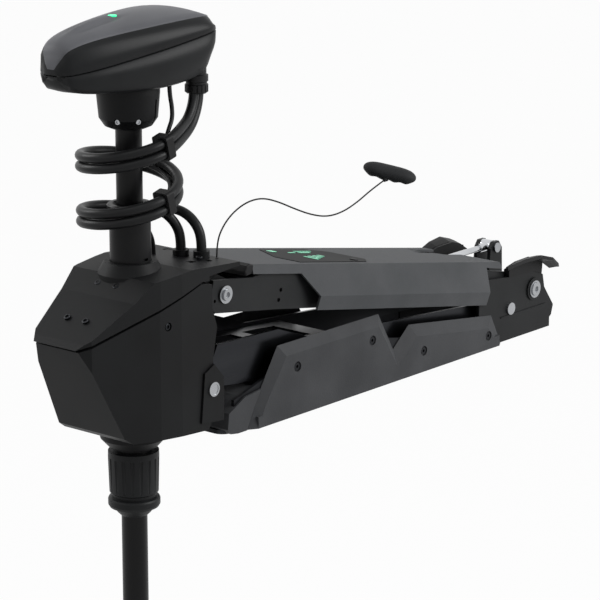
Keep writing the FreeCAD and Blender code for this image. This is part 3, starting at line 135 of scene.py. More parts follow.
def grained(name, low, high, rough, grain_mm, depth_mm, metallic=0.0, ior=1.5, specular=MATT_SPECULAR,
            rough_spread=0.1, stretch=(1.0, 1.0, 1.0), coat=0.0):
    """A surface with a fine grain: colour drifts between two tones, and the grain is raised by its depth.

    A real grain is 0.1 to 0.5 mm across, too fine to show, so grain_mm is drawn several times coarser.
    The specular level of what isn't metal is lowered, and some indices are set under the table's value,
    because a dark grained skin mirrors less of a white room than a smooth one of its index.
    """
    material = start(name)
    place = add(material, "TexCoord")
    turned = add(material, "Mapping", {"Vector": (place, "Object")}, Scale=stretch)
    drift = add(material, "TexNoise", {"Vector": (turned, "Vector")}, Scale=1000 / DRIFT_MM, Detail=4.0)
    # noise cells come out about twice the size that the scale names
    grain = add(material, "TexNoise", {"Vector": (turned, "Vector")}, Scale=2000 / grain_mm / 2, Detail=3.0,
                Roughness=0.65)
    colour = add(material, "ValToRGB", {"Fac": (drift, "Fac")},
                 stops=[(0.35, linear(low)), (0.68, linear(high))])
    fleck = add(material, "MixRGB", {"Color1": (colour, "Color"), "Fac": (grain, "Fac")},
                blend_type="MULTIPLY", Color2=(0.82, 0.82, 0.82, 1))
    span = add(material, "MapRange", {"Value": (drift, "Fac")}, To_Min=rough - rough_spread,
               To_Max=rough + rough_spread)
    bump = add(material, "Bump", {"Height": (grain, "Fac")}, Strength=0.55, Distance=depth_mm * MM)
    sources = {"Base Color": (fleck, "Color"), "Roughness": (span, "Result"), "Normal": (bump, "Normal")}
    shader = add(material, "BsdfPrincipled", sources, Metallic=metallic, IOR=ior, Coat_Weight=coat,
                 Specular_IOR_Level=METAL_SPECULAR if metallic else specular)
    return finish_surface(material, shader)


def glowing(name, base, glow, strength):
    """A diffuser that a green lamp lights from behind, in a mottle of two linear colours."""
    material = start(name)
    place = add(material, "TexCoord")
    mottle = add(material, "TexNoise", {"Vector": (place, "Object")}, Scale=400.0, Detail=2.0)
    tone = add(material, "ValToRGB", {"Fac": (mottle, "Fac")}, stops=[(0.3, base), (0.7, glow)])
    sources = {"Base Color": (tone, "Color"), "Emission Color": (tone, "Color")}
    shader = add(material, "BsdfPrincipled", sources, Roughness=0.3, IOR=1.49, Emission_Strength=strength)
    return finish_surface(material, shader)


def large_mouldings():
    """The moulded skins of the housing, the head, the arm and the base."""
    made = {}
    # a spark-eroded grain gives near black with a soft sheen and no clear reflections
    made["housing_plastic"] = grained("Moulded ABS, fine grain", "#0d0d0e", "#151617", 0.50, 1.6, 0.10,
                                      ior=1.46)
    # a finer grain gives smooth highlights that follow the head's curves
    made["head_plastic"] = grained("Moulded ABS, satin", "#1c1d1e", "#262728", 0.42, 1.4, 0.06, ior=1.46)
    # nylon takes the mould's satin and gives a black that is a little waxy
    made["neck_plastic"] = grained("Moulded nylon, satin", "#0d0d0e", "#141516", 0.45, 1.4, 0.06, ior=1.46)
    # grey pigment and an even grain give a pale, flat inlay against the black shells
    made["head_top_plastic"] = grained("Moulded ABS, grey inlay", "#6a6b6f", "#7a7b7f", 0.48, 1.2, 0.06,
                                       ior=1.46)
    # a leather-like grain scatters light, which gives a paler grey with broad, dull highlights
    made["arm_plastic"] = grained("Moulded ABS, coarse grain", "#484a4c", "#565759", 0.62, 2.2, 0.30,
                                  ior=1.46)
    # the same grain in polypropylene gives a darker grey, just as dull
    made["base_plastic"] = grained("Moulded polypropylene, coarse grain", "#3a3b3d", "#4a4b4d", 0.60, 2.2,
                                   0.30, ior=1.49)
    return made


def small_mouldings():
    """Grip, tube, collar, clips, gland, button and propeller."""
    made = {}
    # soft rubber gives a dusty charcoal with hardly a highlight
    made["handle_plastic"] = grained("Thermoplastic rubber, moulded", "#28292a", "#333435", 0.66, 1.8, 0.12,
                                     ior=1.49)
    # a turned skin gives a narrow, slippery highlight down the tube
    made["tube_plastic"] = grained("Acetal, turned", "#121213", "#1a1a1b", 0.36, 1.2, 0.03, ior=1.48)
    # fibres near the skin give a slightly dry black
    made["collar_plastic"] = grained("Glass-filled nylon", "#141516", "#1e1f20", 0.46, 1.4, 0.08, ior=1.53)
    # a thin plain moulding gives a dull black band
    made["clip_plastic"] = grained("Nylon strap", "#0e0e0f", "#171718", 0.5, 1.4, 0.06, ior=1.53)
    # a smooth mould gives small soft glints on the gland's flats
    made["gland_plastic"] = grained("Nylon gland", "#161617", "#202021", 0.42, 1.2, 0.05, ior=1.53)
    # silicone gives a soft, matt key
    made["button_plastic"] = grained("Silicone keypad", "#1a1a1b", "#242425", 0.5, 1.0, 0.04, ior=1.43)
    # a polished mould gives the blades a wet-looking edge of light
    made["propeller_plastic"] = grained("Glass-filled nylon, moulded", "#171819", "#232425", 0.4, 1.6, 0.06,
                                        ior=1.53)
    return made


def shaft_and_cables():
    """The shaft's composite, the cables' sheath and the pull cord."""
    made = {}
    # lengthwise fibres under a smooth resin skin give a faint streak and one long highlight
    made["shaft_composite"] = grained("Pultruded glass fibre", "#070708", "#0e0e0f", 0.34, 1.8, 0.03,
                                      ior=1.54, stretch=ALONG_Z)
    # PVC gives a waxy line of light along each coil
    made["cable_sheath"] = grained("PVC cable sheath", "#131314", "#1f2021", 0.38, 1.6, 0.05, ior=1.53)
    # the coat over the strands gives a thin, dull black line
    made["pull_rope"] = grained("Coated wire rope", "#151515", "#202020", 0.6, 0.9, 0.08)
    return made


def rubbers():
    """The cradles and the seals."""
    made = {}
    # moulded rubber gives a dull black with a soft bloom on its edges
    made["cradle_rubber"] = grained("Moulded rubber", "#111112", "#1c1c1d", 0.5, 1.8, 0.1, ior=1.52)
    # a plain seal gives a flat black ring
    made["seal_rubber"] = grained("Nitrile rubber", "#0f0f10", "#171717", 0.55, 1.2, 0.05, ior=1.52)
    return made


def paints():
    """Powder coat and enamel."""
    made = {}
    # powder coat gives an even charcoal with slight orange peel
    made["arm_metal"] = grained("Powder-coated steel", "#1a1b1c", "#242526", 0.4, 2.6, 0.05)
    # the same coat, a shade darker, gives crisp but soft-lit edges on the brackets
    made["bracket_metal"] = grained("Powder-coated aluminium", "#131415", "#1f2021", 0.4, 2.6, 0.05)
    # enamel gives the spring's cylinder a smooth, tight highlight
    made["spring_paint"] = grained("Enamelled steel tube", "#0d0d0e", "#151516", 0.3, 2.4, 0.02)
    # enamel under a thin clear coat gives the pod a deeper gloss
    made["pod_paint"] = grained("Enamelled aluminium", "#101113", "#1a1b1d", 0.3, 2.6, 0.03, coat=0.2)
    return made


def metals():
    """Anodised, plated, stainless and bare metals; a brushed grain runs along its piece."""
    made = {}
    # dyed anodising gives a dark metal that still glints along its edges
    made["base_aluminium"] = grained("Black anodised aluminium", "#242527", "#323336", 0.42, 1.4, 0.02,
                                     metallic=1.0, stretch=ALONG_X)
    # the link's metal is drawn a dark grey, well under bare aluminium's; an extruded skin is smoother, which
    # gives longer streaks of light
    made["link_aluminium"] = grained("Extruded aluminium, dark grey", "#2b2c2f", "#3a3b3e", 0.3, 1.4,
                                     0.02, metallic=1.0, stretch=ALONG_X)
    # chrome gives a near mirror
    made["spring_steel"] = grained("Chromed steel rod", "#c4c6c9", "#d8dadd", 0.12, 1.0, 0.004, metallic=1.0,
                                   rough_spread=0.04)
    # stainless gives the bolt heads their bright, soft-edged faces
    made["steel_fittings"] = grained("Stainless steel", "#9d9fa2", "#b6b8bb", 0.26, 1.0, 0.01, metallic=1.0)
    # blackened screws sink into their dark wells, with only their sockets' rims catching light
    made["black_steel"] = grained("Blackened steel screws", "#222325", "#303134", 0.3, 1.0, 0.01,
                                  metallic=1.0)
    # a pressed and tumbled blank gives a duller grey steel
    made["hook_steel"] = grained("Pressed stainless steel", "#77797c", "#8d8f92", 0.34, 1.2, 0.02,
                                 metallic=1.0)
    # grinding gives a clean bright ring
    made["bearing_steel"] = grained("Bearing steel, ground", "#a5a7aa", "#bcbec0", 0.16, 0.8, 0.004,
                                    metallic=1.0, rough_spread=0.05)
    # a film of oil gives cut teeth a darker, wet grey
    made["gear_steel"] = grained("Cut gear steel, oiled", "#6b6d70", "#808285", 0.32, 1.2, 0.02, metallic=1.0)
    # stacked sheet gives a dull grey
    made["motor_steel"] = grained("Electrical steel", "#55575a", "#6b6d70", 0.4, 1.2, 0.02, metallic=1.0)
    # open pores give the bronze a warm, satin brown
    made["bush_brass"] = grained("Sintered bronze", "#8a6a3c", "#a8854e", 0.4, 1.0, 0.02, metallic=1.0)
    return made


def lit_and_clear():
    """Circuit board, display window and status light."""
    made = {}
    # the solder mask gives a glossy dark green
    made["circuit_board"] = grained("Glass epoxy board, green mask", "#0f3b20", "#17502c", 0.35, 1.4, 0.02,
                                    ior=1.55)
    # an anti-glare coat gives a black that stays black beside white, so the index is well under
    # polycarbonate's 1.58 and the specular level is low
    made["display_gloss"] = grained("Polycarbonate window, black hard coat", "#08090a", "#0e0f10", 0.42, 2.0,
                                    0.005, ior=1.3, specular=0.03, rough_spread=0.04)
    # a lamp behind a diffuser gives a soft, slightly mottled green glow
    made["light_lens"] = glowing("Lit diffuser, green", linear("#1fae72"), linear("#2ff0a0"), 1.4)
    return made


def materials():
    """One material for each finish of the record, named for what the real one is."""
    made = {}
    families = (large_mouldings, small_mouldings, shaft_and_cables, rubbers, paints, metals, lit_and_clear)
    for family in families:
        made.update(family())
    return made


# ---- pieces -------------------------------------------------------------
def piece_from(name, mesh, body, surface, smooth=True):
    """Links a finished mesh as a piece that rides on a body and takes a slot's finish."""
    piece = bpy.data.objects.new(name, mesh)
    bpy.context.scene.collection.objects.link(piece)
    mesh.materials.clear()
    mesh.materials.append(surface)
    mesh.polygons.foreach_set("use_smooth", [smooth] * len(mesh.polygons))
    if body:
        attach(piece, body)
    return piece


def mesh_of(work, name):
    """Closes a bmesh into a mesh with its faces pointing out."""
    bmesh.ops.recalc_face_normals(work, faces=work.faces)
    mesh = bpy.data.meshes.new(name)
    work.to_mesh(mesh)
    work.free()
    return mesh


# a cap screw's sides, and shares of its radius and height: rim round the socket, the socket's slope and
# depth, and the bevel of the head
SCREW_SIDES = 28
SCREW_RIM = 0.45
SOCKET_SLOPE = 0.06
SOCKET_DEPTH = 0.6
SCREW_BEVEL = 0.14


def turned_to(at_mm, along):
    """The matrix that stands a Z-up shape on a point, along a direction."""
    return Matrix.Translation(Vector(at_mm) * MM) @ Vector(along).to_track_quat("Z", "Y").to_matrix().to_4x4()


def cap_screw(work, at_mm, along, radius_mm, height_mm):
    """A socket-head cap screw: a bevelled head with a round socket, standing on a point."""
    place = turned_to(at_mm, along)
    r, h = radius_mm * MM, height_mm * MM
    head = bmesh.ops.create_cone(work, cap_ends=True, segments=SCREW_SIDES, radius1=r, radius2=r, depth=h,
                                 matrix=place @ Matrix.Translation((0, 0, h / 2)))
    faces = {f for v in head["verts"] for f in v.link_faces}
    axis = (place.to_3x3() @ Vector((0, 0, 1))).normalized()
    top = max((f for f in faces if len(f.verts) == SCREW_SIDES), key=lambda f: f.calc_center_median() @ axis)
    rim = list(top.edges)
    bmesh.ops.inset_region(work, faces=[top], thickness=r * SCREW_RIM)
    bmesh.ops.inset_region(work, faces=[top], thickness=r * SOCKET_SLOPE, depth=-h * SOCKET_DEPTH)
    bmesh.ops.bevel(work, geom=rim, offset=r * SCREW_BEVEL, segments=2, profile=0.5, affect="EDGES",
                    material=-1)


def arm_point(x, y, v):
    """A point given along, across and above the folding arm, in millimetres of the frame."""
    run, rise = cos(ARM_ANGLE), sin(ARM_ANGLE)
    return Vector((ARM_HINGE[0] + x * run + v * rise, y, ARM_HINGE[1] - x * rise + v * run))


# ---- cables -------------------------------------------------------------
# the coil: its radii, the heading and height where it starts, its fall per degree, and the tilt of its
# turns; it is drawn in steps of so many degrees, and the second clip holds it after CLIP_STEP of them
COIL_R = 56.0
THIN_COIL_R = 46.5
COIL_START = -76.0
COIL_TOP = 355.8
COIL_FALL = 0.175
COIL_TILT = 6
TILT_HEADING = 38
COIL_STEP = 24
CLIP_STEP = 15
COIL_STEPS = 25
CABLE_D = 11.6
THIN_D = 5.0
PULL_D = 1.9
PAIR_HALF = CABLE_D / 2 + 0.35
# the pair's lead from the gland: its height, and its bends of so many degrees, one every LEAD_RUN
LEAD_TOP = 416.0
LEAD_TILT = 20
LEAD_RUN = 16.0
LEAD_BENDS = 5
# along and across: the middle of the pair at the gland, the sensor cable's exit from the head, and the
# places where the cables enter the housing
GLAND = (-355.0, -33.0)
GLAND_HEADING = 197.0
THIN_EXIT = (-397.0, -30.0)
INLETS = {1: (-348.0, 0.0), -1: (-338.0, -23.0)}
THIN_INLET = (-366.0, 26.0)
TAILS = {
    1: [(-368.4, 18, 261.6), (-358.8, 9.5, 253.8), (-351.8, 3.3, 242.1)],
    -1: [(-412, 56, 256.3), (-389.4, 55.3, 255.7), (-375.9, 51.6, 255.5), (-363.9, 44.4, 255.8),
         (-354.2, 34.3, 256.6), (-347.5, 22, 257.6), (-344.2, 6.5, 258.2), (-341.4, -7, 252.5),
         (-339.2, -17.4, 241.9)],
}
PULL_ROUTE = [(-328.5, -38, 205.4), (-326, -36, 223), (-315, -36, 240), (-297, -36, 253), (-273, -36, 261),
              (-247, -36.4, 261.5), (-218, -36, 252), (-187, -35, 238), (-155, -34.5, 225), (-124, -34, 217),
              (-93, -33, 217.5), (-63, -32, 225), (-36, -32, 236), (-7.7, -30.3, 243.2)]


def coil_z(turn):
    """The coil's height after so many degrees."""
    return COIL_TOP - COIL_FALL * turn - COIL_TILT * sin(radians(turn + TILT_HEADING))


def around(angle, radius, z):
    """A point round the shaft."""
    return (SHAFT_X + radius * cos(radians(angle)), radius * sin(radians(angle)), z)


def coil_points(radius, lift):
    """The coil's points from its top down, lifted for the upper or lower cable of the pair."""
    return [around(COIL_START - COIL_STEP * k, radius, coil_z(COIL_STEP * (k - 0.5)) + lift)
            for k in range(COIL_STEPS + 1)]


def halfway(a, b):
    """The point between two others."""
    return tuple((p + q) / 2 for p, q in zip(a, b))


def pair_lead(side):
    """From the gland the two power cables bend level together, one above the other."""
    points = []
    heading = radians(GLAND_HEADING)
    along, z = 0.0, LEAD_TOP
    for bend in range(LEAD_BENDS):
        lean = radians(LEAD_TILT * bend)
        half = radians(LEAD_TILT / 2) if bend else 0.0
        reach = side * PAIR_HALF / cos(half)
        if bend:
            along += LEAD_RUN * sin(lean - 2 * half)
            z -= LEAD_RUN * cos(lean - 2 * half)
        s = along + reach * cos(lean - half)
        height = z + reach * sin(lean - half)
        points.append((GLAND[0] + s * cos(heading), GLAND[1] + s * sin(heading), height))
    return points


def power_route(side, upper):
    """A power cable's points, above or below the second clip; both run away from their fitting."""
    coil = coil_points(COIL_R, side * PAIR_HALF)
    if side == -1:
        coil = coil[:-2]
    clip = halfway(coil[CLIP_STEP], coil[CLIP_STEP + 1])
    if upper:
        return pair_lead(side) + coil[:CLIP_STEP + 1] + [clip]
    x, y = INLETS[side]
    return ([clip] + coil[CLIP_STEP + 1:] + TAILS[side] + [(x, y, 228), (x, y, 213)])[::-1]


def sensor_route(upper):
    """The sensor cable's points inside the pair's coil, above or below the second clip."""
    coil = coil_points(THIN_COIL_R, 0)
    clip = halfway(coil[CLIP_STEP], coil[CLIP_STEP + 1])
    x, y = THIN_EXIT
    if upper:
        return [(x, y, 419.2), (x, y - 0.5, 404), (x + 1, y - 3, 390), (x - 2, y - 6, 377),
                (-408, -38.5, 367)] + coil[:CLIP_STEP + 1] + [clip]
    x, y = THIN_INLET
    return ([clip] + coil[CLIP_STEP + 1:-2] + [(-392, 34, 253), (-379, 29.5, 245), (-370.5, 27, 232.5),
                                               (x, y, 219), (x, y, 206)])[::-1]


def route_curve(name, route_mm):
    """An open quadratic NURBS curve with the route's points as its control points."""
    data = bpy.data.curves.new(name, "CURVE")
    data.dimensions = "3D"
    data.resolution_u = 8
    line = data.splines.new("NURBS")
    line.points.add(len(route_mm) - 1)
    for point, place in zip(line.points, route_mm):
        point.co = (*(Vector(place) * MM), 1.0)
    line.order_u = 3
    line.use_endpoint_u = True
    piece = bpy.data.objects.new(name, data)
    bpy.context.scene.collection.objects.link(piece)
    return piece


def cable(node, route_mm, diameter_mm, surface):
    """A sheathed cable in place of its CAD node.
    """
    guide = route_curve(node + "_guide", route_mm)
    bpy.context.view_layer.update()
    line = bpy.data.meshes.new_from_object(guide)
    guide.data.bevel_depth = diameter_mm * MM / 2
    guide.data.bevel_resolution = 5
    guide.data.use_fill_caps = True
    bpy.context.view_layer.update()
    mesh = bpy.data.meshes.new_from_object(guide)
    bpy.data.objects.remove(guide)
    piece = piece_from(node + "_sheath", mesh, None, surface)
    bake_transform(piece)
    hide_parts(node)
    return piece


# ---- head ---------------------------------------------------------------
# at each x: height of the underside, its half width, half width at the seam and at the top, height of
# the top's edge, height of the crown
HEAD_SECTIONS = (
    (-550, 437, 8, 14, 11, 459, 462), (-541, 424, 17, 26, 20, 472, 477), (-505, 418, 29, 40, 31, 481, 489),
    (-432, 415, 43, 55, 45, 488, 497), (-374, 421, 47, 61, 51, 491, 497), (-352, 436, 43, 59, 48, 489, 493),
    (-342, 454, 34, 50, 40, 481, 484))
HEAD_STEPS = 6
# the seam climbs from the nose to the rear, and the two shells stand apart at it
NOSE_X = -556
NOSE_SEAM = 441
SEAM_SLOPE = 0.155
SEAM_HALF_GAP = 0.2
# the crown's spine and the groove either side of it: height, half width, the groove's place from the
# middle, and the stretch of x where they stand, with how softly each end fades
SPINE_HEIGHT = 2.6
SPINE_HALF = 4.5
GROOVE_DEPTH = 2.4
GROOVE_HALF = 3.5
GROOVE_AT = 9
SPINE_NOSE = -520
SPINE_REAR = -456
NOSE_FADE = 6
REAR_FADE = 3
CROWN_RIM = 1.6
CROWN_PLACES = (1.0, 0.97, 0.75, 0.5, 0.32, 0.24, 0.16, 0.08, 0.0)


def seam_height(x):
    """Height of the head's seam."""
    return NOSE_SEAM + (x - NOSE_X) * SEAM_SLOPE


def between(rows, n, t):
    """A smooth curve through the rows, at the fraction t of the span after row n."""
    a, b, c, d = (rows[max(0, min(len(rows) - 1, k))] for k in (n - 1, n, n + 1, n + 2))
    return [q + 0.5 * t * (r - p + t * (2 * p - 5 * q + 4 * r - u + t * (3 * (q - r) + u - p)))
            for p, q, r, u in zip(a, b, c, d)]


def head_stations():
    """The head's sections with smooth ones between them."""
    rows = [between(HEAD_SECTIONS, n, k / HEAD_STEPS) for n in range(len(HEAD_SECTIONS) - 1)
            for k in range(HEAD_STEPS)]
    return rows + [list(HEAD_SECTIONS[-1])]


def lower_profile(x, low, low_y, seam_y, top_y, top, crown):
    """Half of the lower shell across, from the seam down to the middle of the underside."""
    seam = seam_height(x)
    return [(seam_y - 2.0, seam - SEAM_HALF_GAP), (seam_y, seam - 1.2), (seam_y - 0.6, (low + seam) / 2 + 4),
            (seam_y - 3, (low + seam) / 2 - 3), ((low_y + seam_y) / 2, low + 5), (low_y, low + 1), (0, low)]


def upper_profile(x, low, low_y, seam_y, top_y, top, crown):
    """Half of the upper shell across, from the seam up to the middle under the crown."""
    seam = seam_height(x)
    return [(seam_y - 2.0, seam + SEAM_HALF_GAP), (seam_y, seam + 1.2), (seam_y - 0.8, (seam + top) / 2 - 2),
            ((seam_y + top_y) / 2 + 1.5, top - 8), (top_y + 1.4, top - 2.4), (top_y - 0.6, top - 1.4),
            (0, top - 3)]


def plate_profile(x, low, low_y, seam_y, top_y, top, crown):
    """Across the crown: a domed inlay with a spine and a groove either side that end at the light."""
    near = 1 / (1 + exp(-(x - SPINE_NOSE) / NOSE_FADE)) / (1 + exp((x - SPINE_REAR) / REAR_FADE))
    points = []
    for f in CROWN_PLACES:
        y = f * top_y
        dome = top + (crown - top) * (1 - f * f)
        spine = SPINE_HEIGHT * exp(-(y / SPINE_HALF) ** 2)
        shape = spine - GROOVE_DEPTH * exp(-((y - GROOVE_AT) / GROOVE_HALF) ** 2)
        points.append((y, dome + near * shape - (CROWN_RIM if f == 1.0 else 0)))
    return points


def head_skin(name, profile, node, slot):
    """A skin drawn along the head: one profile of a few points, extruded from station to station."""
    stations = head_stations()
    work = bmesh.new()

    def places(row, scale, shift):
        half = profile(*row)
        middle = seam_height(row[0])
        full = half + [(-y, z) for y, z in reversed(half[:-1])]
        return [Vector((row[0] + shift, y * scale, middle + (z - middle) * scale)) * MM for y, z in full]

    # the nose and the rear round off towards the seam in two shrinking sections each
    ends = [(stations[0], 0.45, -2.2), (stations[0], 0.8, -1.3)]
    ends += [(row, 1.0, 0.0) for row in stations]
    ends += [(stations[-1], 0.85, 1.4), (stations[-1], 0.5, 2.4)]
    line = [work.verts.new(p) for p in places(*ends[0])]
    edges = [work.edges.new(pair) for pair in zip(line, line[1:])]
    work.faces.new(line)
    for end in ends[1:]:
        made = bmesh.ops.extrude_edge_only(work, edges=edges)["geom"]
        edges = [g for g in made if isinstance(g, bmesh.types.BMEdge)]
        line = chain(edges, line)
        for vert, place in zip(line, places(*end)):
            vert.co = place
        edges = [e for e in edges if all(v in line for v in e.verts)]
    work.faces.new(line)
    skin = piece_from(name, mesh_of(work, name), "shaft_and_pod", SURFACES[slot])
    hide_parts(node)
    return skin


def chain(edges, before):
    """The new line's vertices in the order of the line that they were extruded from."""
    fresh = {v for e in edges for v in e.verts}
    return [min(fresh, key=lambda v: (v.co - old.co).length_squared) for old in before]


# ---- grip ---------------------------------------------------------------
GRIP_AT = (3.0, -29.0, 250.0)
GRIP_ALONG = (0.62, -0.74, -0.24)
GRIP_HALF = (13, 9.5, 33.5)
GRIP_BELOW = 10.5
# finger grooves below: their depth as a share of the grip's, their pitch as a share of its half length
FINGER_DEPTH = 0.16
FINGER_PITCH = 0.46
# the nub round the cord: its radii towards the cord and towards the grip, and its length
NUB = (2.2, 3.4, 5)


def finger_grip(name):
    """A flattened rubber grip with finger grooves below and a nub where the cord enters."""
    work = bmesh.new()
    place = turned_to(GRIP_AT, GRIP_ALONG)
    bmesh.ops.create_uvsphere(work, u_segments=48, v_segments=40, radius=1.0)
    for vert in work.verts:
        x, y, z = vert.co
        # fuller ends than an ellipse's
        swell = ((1 - z ** 4) / (1 - z ** 2)) ** 0.5 if abs(z) < 0.999 else 0
        groove = 1 - FINGER_DEPTH * (0.5 + 0.5 * cos(2 * pi * z / FINGER_PITCH)) if y < 0 else 1.0
        half_y = GRIP_BELOW if y < 0 else GRIP_HALF[1]
        vert.co = Vector((GRIP_HALF[0] * x * swell, half_y * y * swell * groove, GRIP_HALF[2] * z)) * MM
    bmesh.ops.transform(work, matrix=place, verts=work.verts)
    end, before = Vector(PULL_ROUTE[-1]), Vector(PULL_ROUTE[-2])
    cord_side, grip_side, length = (size * MM for size in NUB)
    bmesh.ops.create_cone(work, cap_ends=True, segments=24, radius1=cord_side, radius2=grip_side,
                          depth=length, matrix=turned_to(end, end - before))
    return mesh_of(work, name)


# ---- screws and display -------------------------------------------------
FRONT_SCREWS_X = (-520, -470)
FRONT_SCREWS_Y = 14
# the housing's sloping front: a place on it, its slope and its outward direction
FRONT_AT = (-548, 147)
FRONT_SLOPE = 0.6
FRONT_OUT = (-0.51, 0, 0.86)
SIDE_SCREW = (-440, 61.2, 150)
TOP_SCREWS = ((-329, -8), (-352, -32))
TOP_HEIGHT = 207.5
NECK_SCREW_ANGLES = (200, 245)
NECK_R = 28
SCREW_HEIGHT = 2.4
TOP_SCREW_HEIGHT = 2.6
NECK_SCREW_R = 3.2
NECK_SCREW_DEPTH = 2.6
NECK_SCREW_HEIGHT = 379
SYMBOL_FLOOR = 35.75
SYMBOL_HEIGHT = 0.35
SYMBOL_CORNER = 0.0012
# the lit marks behind the window: four bars that grow, then lines and a square; each is its middle
# along and across the arm, its length and its width
SYMBOLS = [(-380 - 12 * n, -8 - 5 * n, 5, 10 + 4 * n) for n in range(4)]
SYMBOLS += [(-380, 18, 22, 4), (-404, 18, 12, 4), (-372, 28, 34, 2.4), (-428, 30, 10, 10)]

# ---- stage --------------------------------------------------------------
FLOOR_HALF = 14.0
FLOOR_DROP = 0.001
# the share of plain white in what the floor shows; the rest is its lit paint, which keeps the shadow
FLOOR_WHITE = 0.97
SOFT_LIGHT = 0.12
LAMPS_AIM = (-0.15, 0, 0.15)
# a large soft lamp on the camera's side towards the stern, weaker ones at the bow, behind and overhead:
# place and size in metres, and share of the key lamp's power
LAMPS = (("side_softbox", (1.2, -2.6, 1.5), 1.8, 1.0), ("bow_softbox", (-2.8, 0.6, 0.9), 1.4, 0.06),
         ("rear_strip", (-1.2, 2.4, 1.6), 1.2, 0.35), ("overhead", (-1.4, -0.4, 2.6), 2.0, 0.13))
LENS_MM = 168.0
CAMERA_AT = (-2.6609, -2.1198, 0.9630)
CAMERA_AZIMUTH = -50.0
CAMERA_HEIGHT = 14.5


# ---- operators ----------------------------------------------------------
class MotorSizes(PropertyGroup):
    """Sizes a user may change without leaving the model."""
    pull_diameter: FloatProperty(name="Pull cord diameter", description="Outside of the coated pull cord",
                                 default=PULL_D * MM, min=0.001, max=0.003, unit="LENGTH")
    screw_radius: FloatProperty(name="Cap screw radius", description="Radius of the housing's screw heads",
                                default=0.004, min=0.003, max=0.006, unit="LENGTH")
    lamp_power: FloatProperty(name="Key lamp power", description="Power of the large side lamp",
                              default=92.0, min=10.0, max=400.0, unit="POWER")


class MotorColours(PropertyGroup):
    """Colours a user may change."""
    glow: FloatVectorProperty(name="Display glow", description="Colour of the lit symbols", subtype="COLOR",
                              size=3, default=linear("#7fd8b4")[:3], min=0.0, max=1.0)
    floor: FloatVectorProperty(name="Floor", description="Colour of the studio floor", subtype="COLOR",
                               size=3, default=linear("#f2f2f2")[:3], min=0.0, max=1.0)


class MOTOR_OT_finishes(Operator):
    """Gives every CAD node the finish of its material slot, except the base cover's screws, which get
    blackened steel
    """
    bl_idname = "motor.finishes"
    bl_label = "Finishes"

    def execute(self, context):
        SURFACES.update(materials())
        for part in frame["record"]["subparts"]:
            mesh = frame["nodes"][part["node"]].data
            mesh.materials.clear()
            finish = "black_steel" if part["node"] == "base_cover_screws" else part["material_slot"]
            mesh.materials.append(SURFACES[finish])
        return {"FINISHED"}


class MOTOR_OT_head(Operator):
    """Dresses the control head in its smooth shells and crown"""
    bl_idname = "motor.head"
    bl_label = "Control head"

    def execute(self, context):
        head_skin("head_lower_skin", lower_profile, "head_lower_shell", "head_plastic")
        head_skin("head_upper_skin", upper_profile, "head_upper_shell", "head_plastic")
        head_skin("head_crown", plate_profile, "head_top_plate", "head_top_plastic")
        return {"FINISHED"}


class MOTOR_OT_cables(Operator):
    """Runs the coiled power cables and the sensor cable"""
    bl_idname = "motor.cables"
    bl_label = "Coiled cables"

    def execute(self, context):
        surface = SURFACES["cable_sheath"]
        for letter, side in (("a", 1), ("b", -1)):
            cable(f"power_cable_{letter}_upper", power_route(side, True), CABLE_D, surface)
            cable(f"power_cable_{letter}_lower", power_route(side, False), CABLE_D, surface)
        cable("sensor_cable_upper", sensor_route(True), THIN_D, surface)
        cable("sensor_cable_lower", sensor_route(False), THIN_D, surface)
        return {"FINISHED"}


class MOTOR_OT_pull_cord(Operator):
    """Runs the wire-cored pull cord from the housing to its grip"""
    bl_idname = "motor.pull_cord"
    bl_label = "Pull cord"

    def execute(self, context):
        diameter = context.scene.motor_sizes.pull_diameter
        piece = route_curve("pull_cord_line", PULL_ROUTE)
        piece.data.bevel_depth = diameter / 2
        piece.data.bevel_resolution = 4
        piece.data.use_fill_caps = True
        piece.data.materials.append(SURFACES["pull_rope"])
        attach(piece, "steering_housing")
        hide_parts("pull_cord")
        grip = piece_from("finger_grip", finger_grip("finger_grip"), "steering_housing",
                          SURFACES["handle_plastic"])
        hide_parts("pull_handle")
        return {"FINISHED"}


class MOTOR_OT_screws(Operator):
    """Adds the socket screws of the steering housing and of the head's neck"""
    bl_idname = "motor.screws"
    bl_label = "Cap screws"

    def execute(self, context):
        radius = context.scene.motor_sizes.screw_radius / MM
        work = bmesh.new()
        for side in (-1, 1):
            for x in FRONT_SCREWS_X:
                height = FRONT_AT[1] + (x - FRONT_AT[0]) * FRONT_SLOPE
                cap_screw(work, (x, side * FRONT_SCREWS_Y, height), FRONT_OUT, radius, SCREW_HEIGHT)
            x, y, height = SIDE_SCREW
            cap_screw(work, (x, side * y, height), (0, side, 0), radius, SCREW_HEIGHT)
        for x, y in TOP_SCREWS:
            cap_screw(work, (x, y, TOP_HEIGHT), (0, 0, 1), radius, TOP_SCREW_HEIGHT)
        piece_from("housing_cap_screws", mesh_of(work, "housing_cap_screws"),
                   "steering_housing", SURFACES["black_steel"], smooth=False)
        work = bmesh.new()
        for angle in NECK_SCREW_ANGLES:
            outward = Vector((cos(radians(angle)), sin(radians(angle)), 0))
            seat = Vector((SHAFT_X, 0, NECK_SCREW_HEIGHT)) + outward * NECK_R
            cap_screw(work, seat, outward, NECK_SCREW_R, NECK_SCREW_DEPTH)
        piece_from("neck_cap_screws", mesh_of(work, "neck_cap_screws"), "shaft_and_pod",
                   SURFACES["steel_fittings"], smooth=False)
        return {"FINISHED"}


